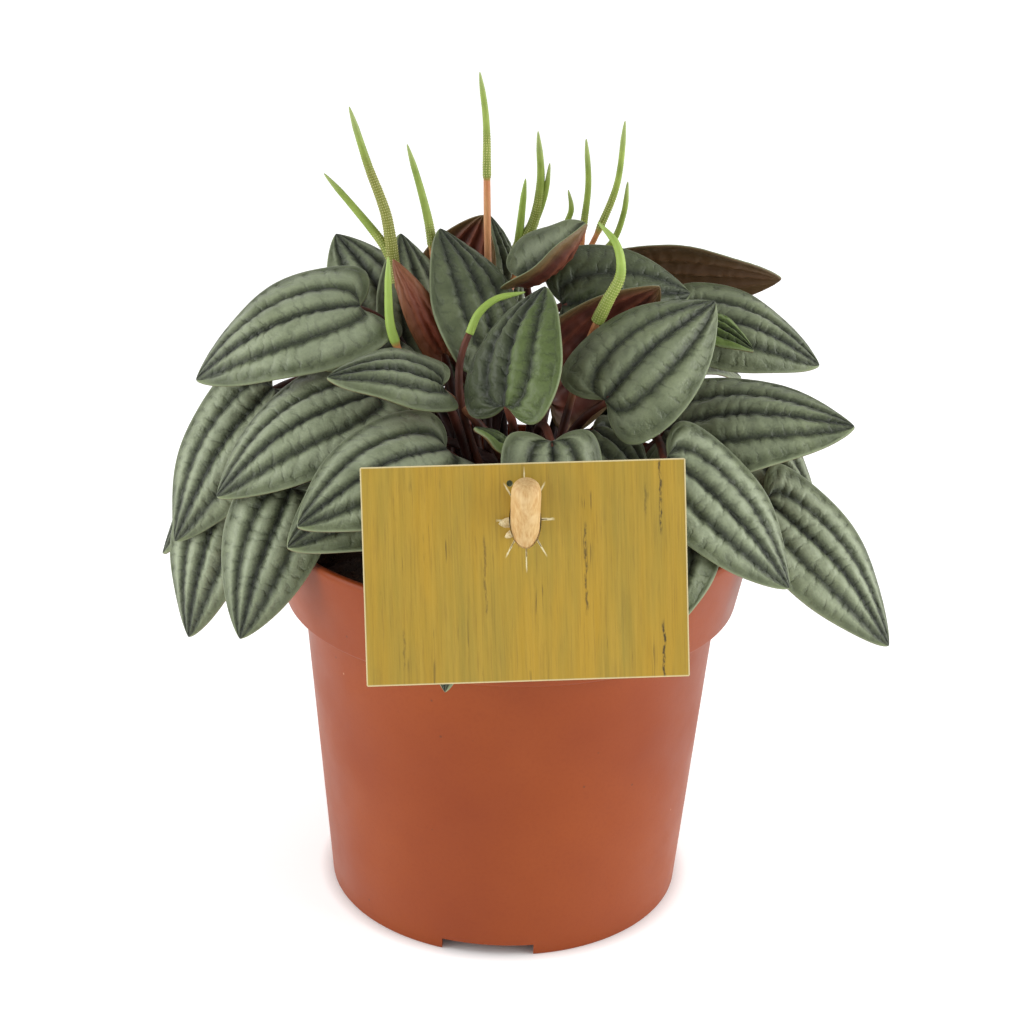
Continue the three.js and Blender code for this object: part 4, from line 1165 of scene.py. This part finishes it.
def cardFinish():
    c = {name: paint(*colour) for name, colour in cardColours.items()}
    finish, shader = newFinish("printedCard", IOR=1.46, Coat_Weight=0.12, Coat_Roughness=0.3)
    across, up = markOf(finish, "across"), markOf(finish, "up")
    spot = addNode(finish, "CombineXYZ", {"X": across, "Y": up}).outputs["Vector"]

    def grainNoise(size, run, detail=3.0, rough=0.6, shift=0.0):
        sockets = {"Vector": spot, "Scale": (1 / size, 1 / run, 1), "Location": (shift, shift, 0)}
        place = addNode(finish, "Mapping", sockets).outputs["Vector"]
        sockets = {"Vector": place, "Scale": 1.0, "Detail": detail, "Roughness": rough}
        return addNode(finish, "TexNoise", sockets).outputs["Fac"]

    # the print comes off in pale torn lines along the slits
    x = worked(finish, "DIVIDE", worked(finish, "ADD", across, -cardSlot["across"]), cardSlot["halfWide"])
    y = worked(finish, "DIVIDE", worked(finish, "ADD", up, -cardSlot["up"]), cardSlot["halfHigh"])
    fromMiddle = worked(finish, "SQRT", worked(finish, "ADD", times(finish, x, x), times(finish, y, y)))
    waves = worked(finish, "SINE", times(finish, worked(finish, "ARCTAN2", y, x), cardSlot["slits"] / 2))
    fromSlit = times(finish, worked(finish, "ABSOLUTE", waves), fromMiddle)
    ragged = between(finish, grainNoise(0.7, 0.7, 3, 0.6, -0.5), 0.3, 0.7, -0.06, 0.06)
    torn = between(finish, worked(finish, "ADD", fromSlit, ragged), 0.1, 0.2, 0.8, 0.0)
    reach = 1 + cardSlot["tornReach"] / cardSlot["halfWide"]
    torn = times(finish, torn, between(finish, fromMiddle, reach - 0.25, reach, 1.0, 0.0))
    for place, half in ((across, cardForm["width"] / 2), (up, cardForm["height"] / 2)):
        line = between(finish, worked(finish, "ABSOLUTE", place), half - 0.35, half - 0.2, 0.0, 0.6)
        torn = worked(finish, "MAXIMUM", torn, line)
    wavy = worked(finish, "ADD", across, between(finish, grainNoise(40, 5, 3), 0.3, 0.7, -0.35, 0.35))
    colour = mixed(finish, between(finish, grainNoise(9, 60), 0.35, 0.65), c["green"], c["ochre"])
    colour = mixed(finish, between(finish, grainNoise(0.9, 40, 4), 0.4, 0.7, 0.0, 0.5), colour, c["light"])
    fine = between(finish, grainNoise(0.45, 14, 4, 0.7, 3), 0.5, 0.75, 0.0, 0.4)
    colour = mixed(finish, fine, colour, c["brown"])
    streakWhere = between(finish, grainNoise(6, 9, 2, 0.5, 7), 0.52, 0.66)
    streak = between(finish, grainNoise(0.8, 26, 3, 0.6, 11), 0.6, 0.68, 0.0, 0.7)
    colour = mixed(finish, times(finish, streak, streakWhere), colour, c["black"])
    for place, low, high, strength in darkStreaks:
        away = worked(finish, "ABSOLUTE", worked(finish, "ADD", wavy, -place))
        streak = between(finish, away, 0.1, 0.4, strength, 0.0)
        streak = times(finish, streak, between(finish, up, low - 1, low + 1))
        streak = times(finish, streak, between(finish, up, high - 1, high + 1, 1.0, 0.0))
        broken = between(finish, grainNoise(0.6, 1.6, 3, 0.6, 5), 0.35, 0.55)
        streak = times(finish, streak, broken)
        colour = mixed(finish, streak, colour, c["black"])
    colour = mixed(finish, torn, colour, c["paper"])
    edge = between(finish, markOf(finish, "face"), -0.06, -0.02, 1.0, 0.0)
    colour = mixed(finish, edge, colour, c["paper"])
    feed(finish, shader.inputs["Base Color"], colour)
    feed(finish, shader.inputs["Roughness"], between(finish, grainNoise(2, 8), 0.3, 0.7, 0.42, 0.58))
    feed(finish, shader.inputs["Normal"], raised(finish, grainNoise(0.3, 0.3, 2), 0.03, 0.5))
    return finish


# Small torn points of board stand out of the slot's left side: turn, length, width, rise
tornPoints = [(184, 2.4, 2.2, 1.0), (207, 1.7, 1.5, 0.8)]


def makeTornPoints(finish):
    parts = []
    for degrees, length, width, rise in tornPoints:
        turn = math.radians(degrees)
        root = np.array([cardSlot["across"], cardSlot["up"]]) + slotRim(turn)
        out = unit([math.cos(turn), math.sin(turn)])
        side = np.array([-out[1], out[0]])
        points = []
        for deep in (0, 0.14):
            for step in np.linspace(0, 1, 9):
                half = width / 2 * (1 - step ** 2.4) + 0.04
                for way in (-1, 0, 1):
                    flat = root + out * length * step + side * half * way
                    points.append((*flat, 0.05 + rise * math.sin(1.9 * step) + 0.12 * abs(way) * step - deep))
        count = len(points) // 2
        faces = []
        for i in range(8):
            for j in range(2):
                a, b, e, d = 3 * i + j, 3 * i + j + 1, 3 * i + j + 4, 3 * i + j + 3
                faces += [[a, d, e, b], [a + count, b + count, e + count, d + count]]
        ring = [3 * i for i in range(9)] + [25] + [3 * i + 2 for i in range(8, -1, -1)] + [1]
        faces += [[a, b, b + count, a + count] for a, b in zip(ring, ring[1:] + ring[:1])]
        placed = np.array([cardMatrix() @ Vector(point) for point in points])
        parts.append({"points": placed, "faces": faces})
    return standFor(makeMesh("torn_points", joinParts(parts), [finish]), "card", "label_card")


def boardFinish():
    finish, shader = newFinish("tornBoard", Roughness=0.85)
    fibre = between(finish, lumps(finish, 0.35, 3, 0.6), 0.35, 0.65)
    colour = mixed(finish, fibre, paint(206, 186, 130), paint(236, 222, 182))
    feed(finish, shader.inputs["Base Color"], colour)
    feed(finish, shader.inputs["Normal"], raised(finish, fibre, 0.05, 0.7))
    return finish


makeCard(cardFinish())
makeTornPoints(boardFinish())


def stickFinish():
    finish, shader = newFinish("paleWood", IOR=1.45)
    grain = between(finish, lumps(finish, 0.5, 3, 0.6, (1, 1, 0.06)), 0.35, 0.65)
    colour = mixed(finish, grain, paint(192, 150, 92), paint(212, 180, 126))
    pale = between(finish, lumps(finish, 3, 2), 0.5, 0.7, 0.0, 0.5)
    colour = mixed(finish, pale, colour, paint(222, 196, 146))
    feed(finish, shader.inputs["Base Color"], colour)
    feed(finish, shader.inputs["Roughness"], between(finish, grain, 0, 1, 0.55, 0.72))
    feed(finish, shader.inputs["Normal"], raised(finish, grain, 0.06, 0.6))
    return finish


def makeStick():
    r, lean = stickForm["radius"], math.radians(stickForm["lean"])
    through = cardMatrix() @ Vector((cardSlot["across"], cardSlot["up"], 0))
    along = np.array([0, -math.sin(lean), math.cos(lean)])
    length = stickForm["above"] + (through.z - stickForm["foot"]) / math.cos(lean)
    corners = [
        (0, 0, 0), (r * 0.35, 0, 0.4), (r, r * 1.6, 1), (r, length - r * 0.7, 1.6),
        (r * 0.8, length - r * 0.25, 1), (r * 0.45, length - 0.05, 0.8), (0, length, 0),
    ]
    part = turned(roundedProfile(corners, even=220), stickForm["sides"])
    for point in part["points"]:
        flat = math.hypot(point[0], point[1])
        if flat > 0.1:
            spot = Vector((point[0] * 0.9, point[1] * 0.9, point[2] * 0.06))
            swell = 1 - 0.03 * abs(noise.noise(spot * 1.2)) - 0.02 * abs(noise.noise(spot * 3))
            point[0] *= swell
            point[1] *= swell
    tilt = np.array(Matrix.Rotation(lean, 3, "X"))
    foot = np.array(through) + along * (stickForm["above"] - length)
    part["points"] = part["points"] @ tilt.T + foot
    return standFor(makeMesh("label_stick", part, [stickFinish()]), "stake", "label_stake")


makeStick()
print("label made")

# Floor, light and surroundings
# sky, middle and sides are the tent's; the floor glows from glowStart to glowFull outwards, in metres
light = {
    "sky": 0.45, "middle": 0.5, "sides": 1.3, "floorGlow": 0.5, "glowStart": 0.043, "glowFull": 0.048,
    "left": 4.0, "right": 5.0,
}


def areaLight(name, place, target, size, power):
    lamp = bpy.data.lights.new(name, "AREA")
    lamp.shape, lamp.size, lamp.energy = "SQUARE", size, power
    holder = bpy.data.objects.new(name, lamp)
    holder.location = place
    holder.rotation_mode = "QUATERNION"
    holder.rotation_quaternion = (Vector(target) - Vector(place)).to_track_quat("-Z", "Y")
    bpy.context.scene.collection.objects.link(holder)


# A white tent, brighter left and right than ahead, behind and overhead
def makeTent():
    world = bpy.data.worlds.new("softTent")
    world.use_nodes = True
    direction = addNode(world, "TexCoord", {}).outputs["Generated"]
    parts = addNode(world, "SeparateXYZ", {"Vector": direction}).outputs
    aside = worked(world, "ABSOLUTE", parts["X"])
    sideways = between(world, aside, 0.25, 0.85, light["middle"], light["sides"])
    upward = between(world, parts["Z"], 0.2, 0.8, light["sides"], light["sky"])
    strength = worked(world, "MINIMUM", sideways, upward)
    world.node_tree.nodes["Background"].inputs["Color"].default_value = (1, 1, 1, 1)
    feed(world, world.node_tree.nodes["Background"].inputs["Strength"], strength)
    bpy.context.scene.world = world


def makeStudio():
    makeTent()
    bpy.context.scene.view_settings.view_transform = "Standard"
    finish, shader = newFinish("paleFloor", Roughness=0.8, Emission_Color=(1, 1, 1, 1))
    reach = addNode(finish, "VectorMath", {0: places(finish)}, operation="LENGTH").outputs["Value"]
    glow = between(finish, reach, light["glowStart"], light["glowFull"], 0.0, light["floorGlow"])
    feed(finish, shader.inputs["Emission Strength"], glow)
    patches = between(finish, lumps(finish, 60, 3), 0.3, 0.7)
    tone = mixed(finish, patches, (0.88, 0.88, 0.88, 1), (0.91, 0.91, 0.91, 1))
    feed(finish, shader.inputs["Base Color"], tone)
    side = 4000
    corners = np.array([(-side, -side, 0), (side, -side, 0), (side, side, 0), (-side, side, 0)])
    makeMesh("floor", {"points": corners, "faces": [[0, 1, 2, 3]]}, [finish], smooth=False)
    areaLight("leftLight", (-0.85, -0.25, 0.35), (0, 0, 0.12), 0.7, light["left"])
    areaLight("rightLight", (0.85, -0.2, 0.4), (0, 0, 0.12), 0.7, light["right"])


makeStudio()
print("studio made")

print("solids", [[round(v, 4) for v in corner] for corner in solidBox])
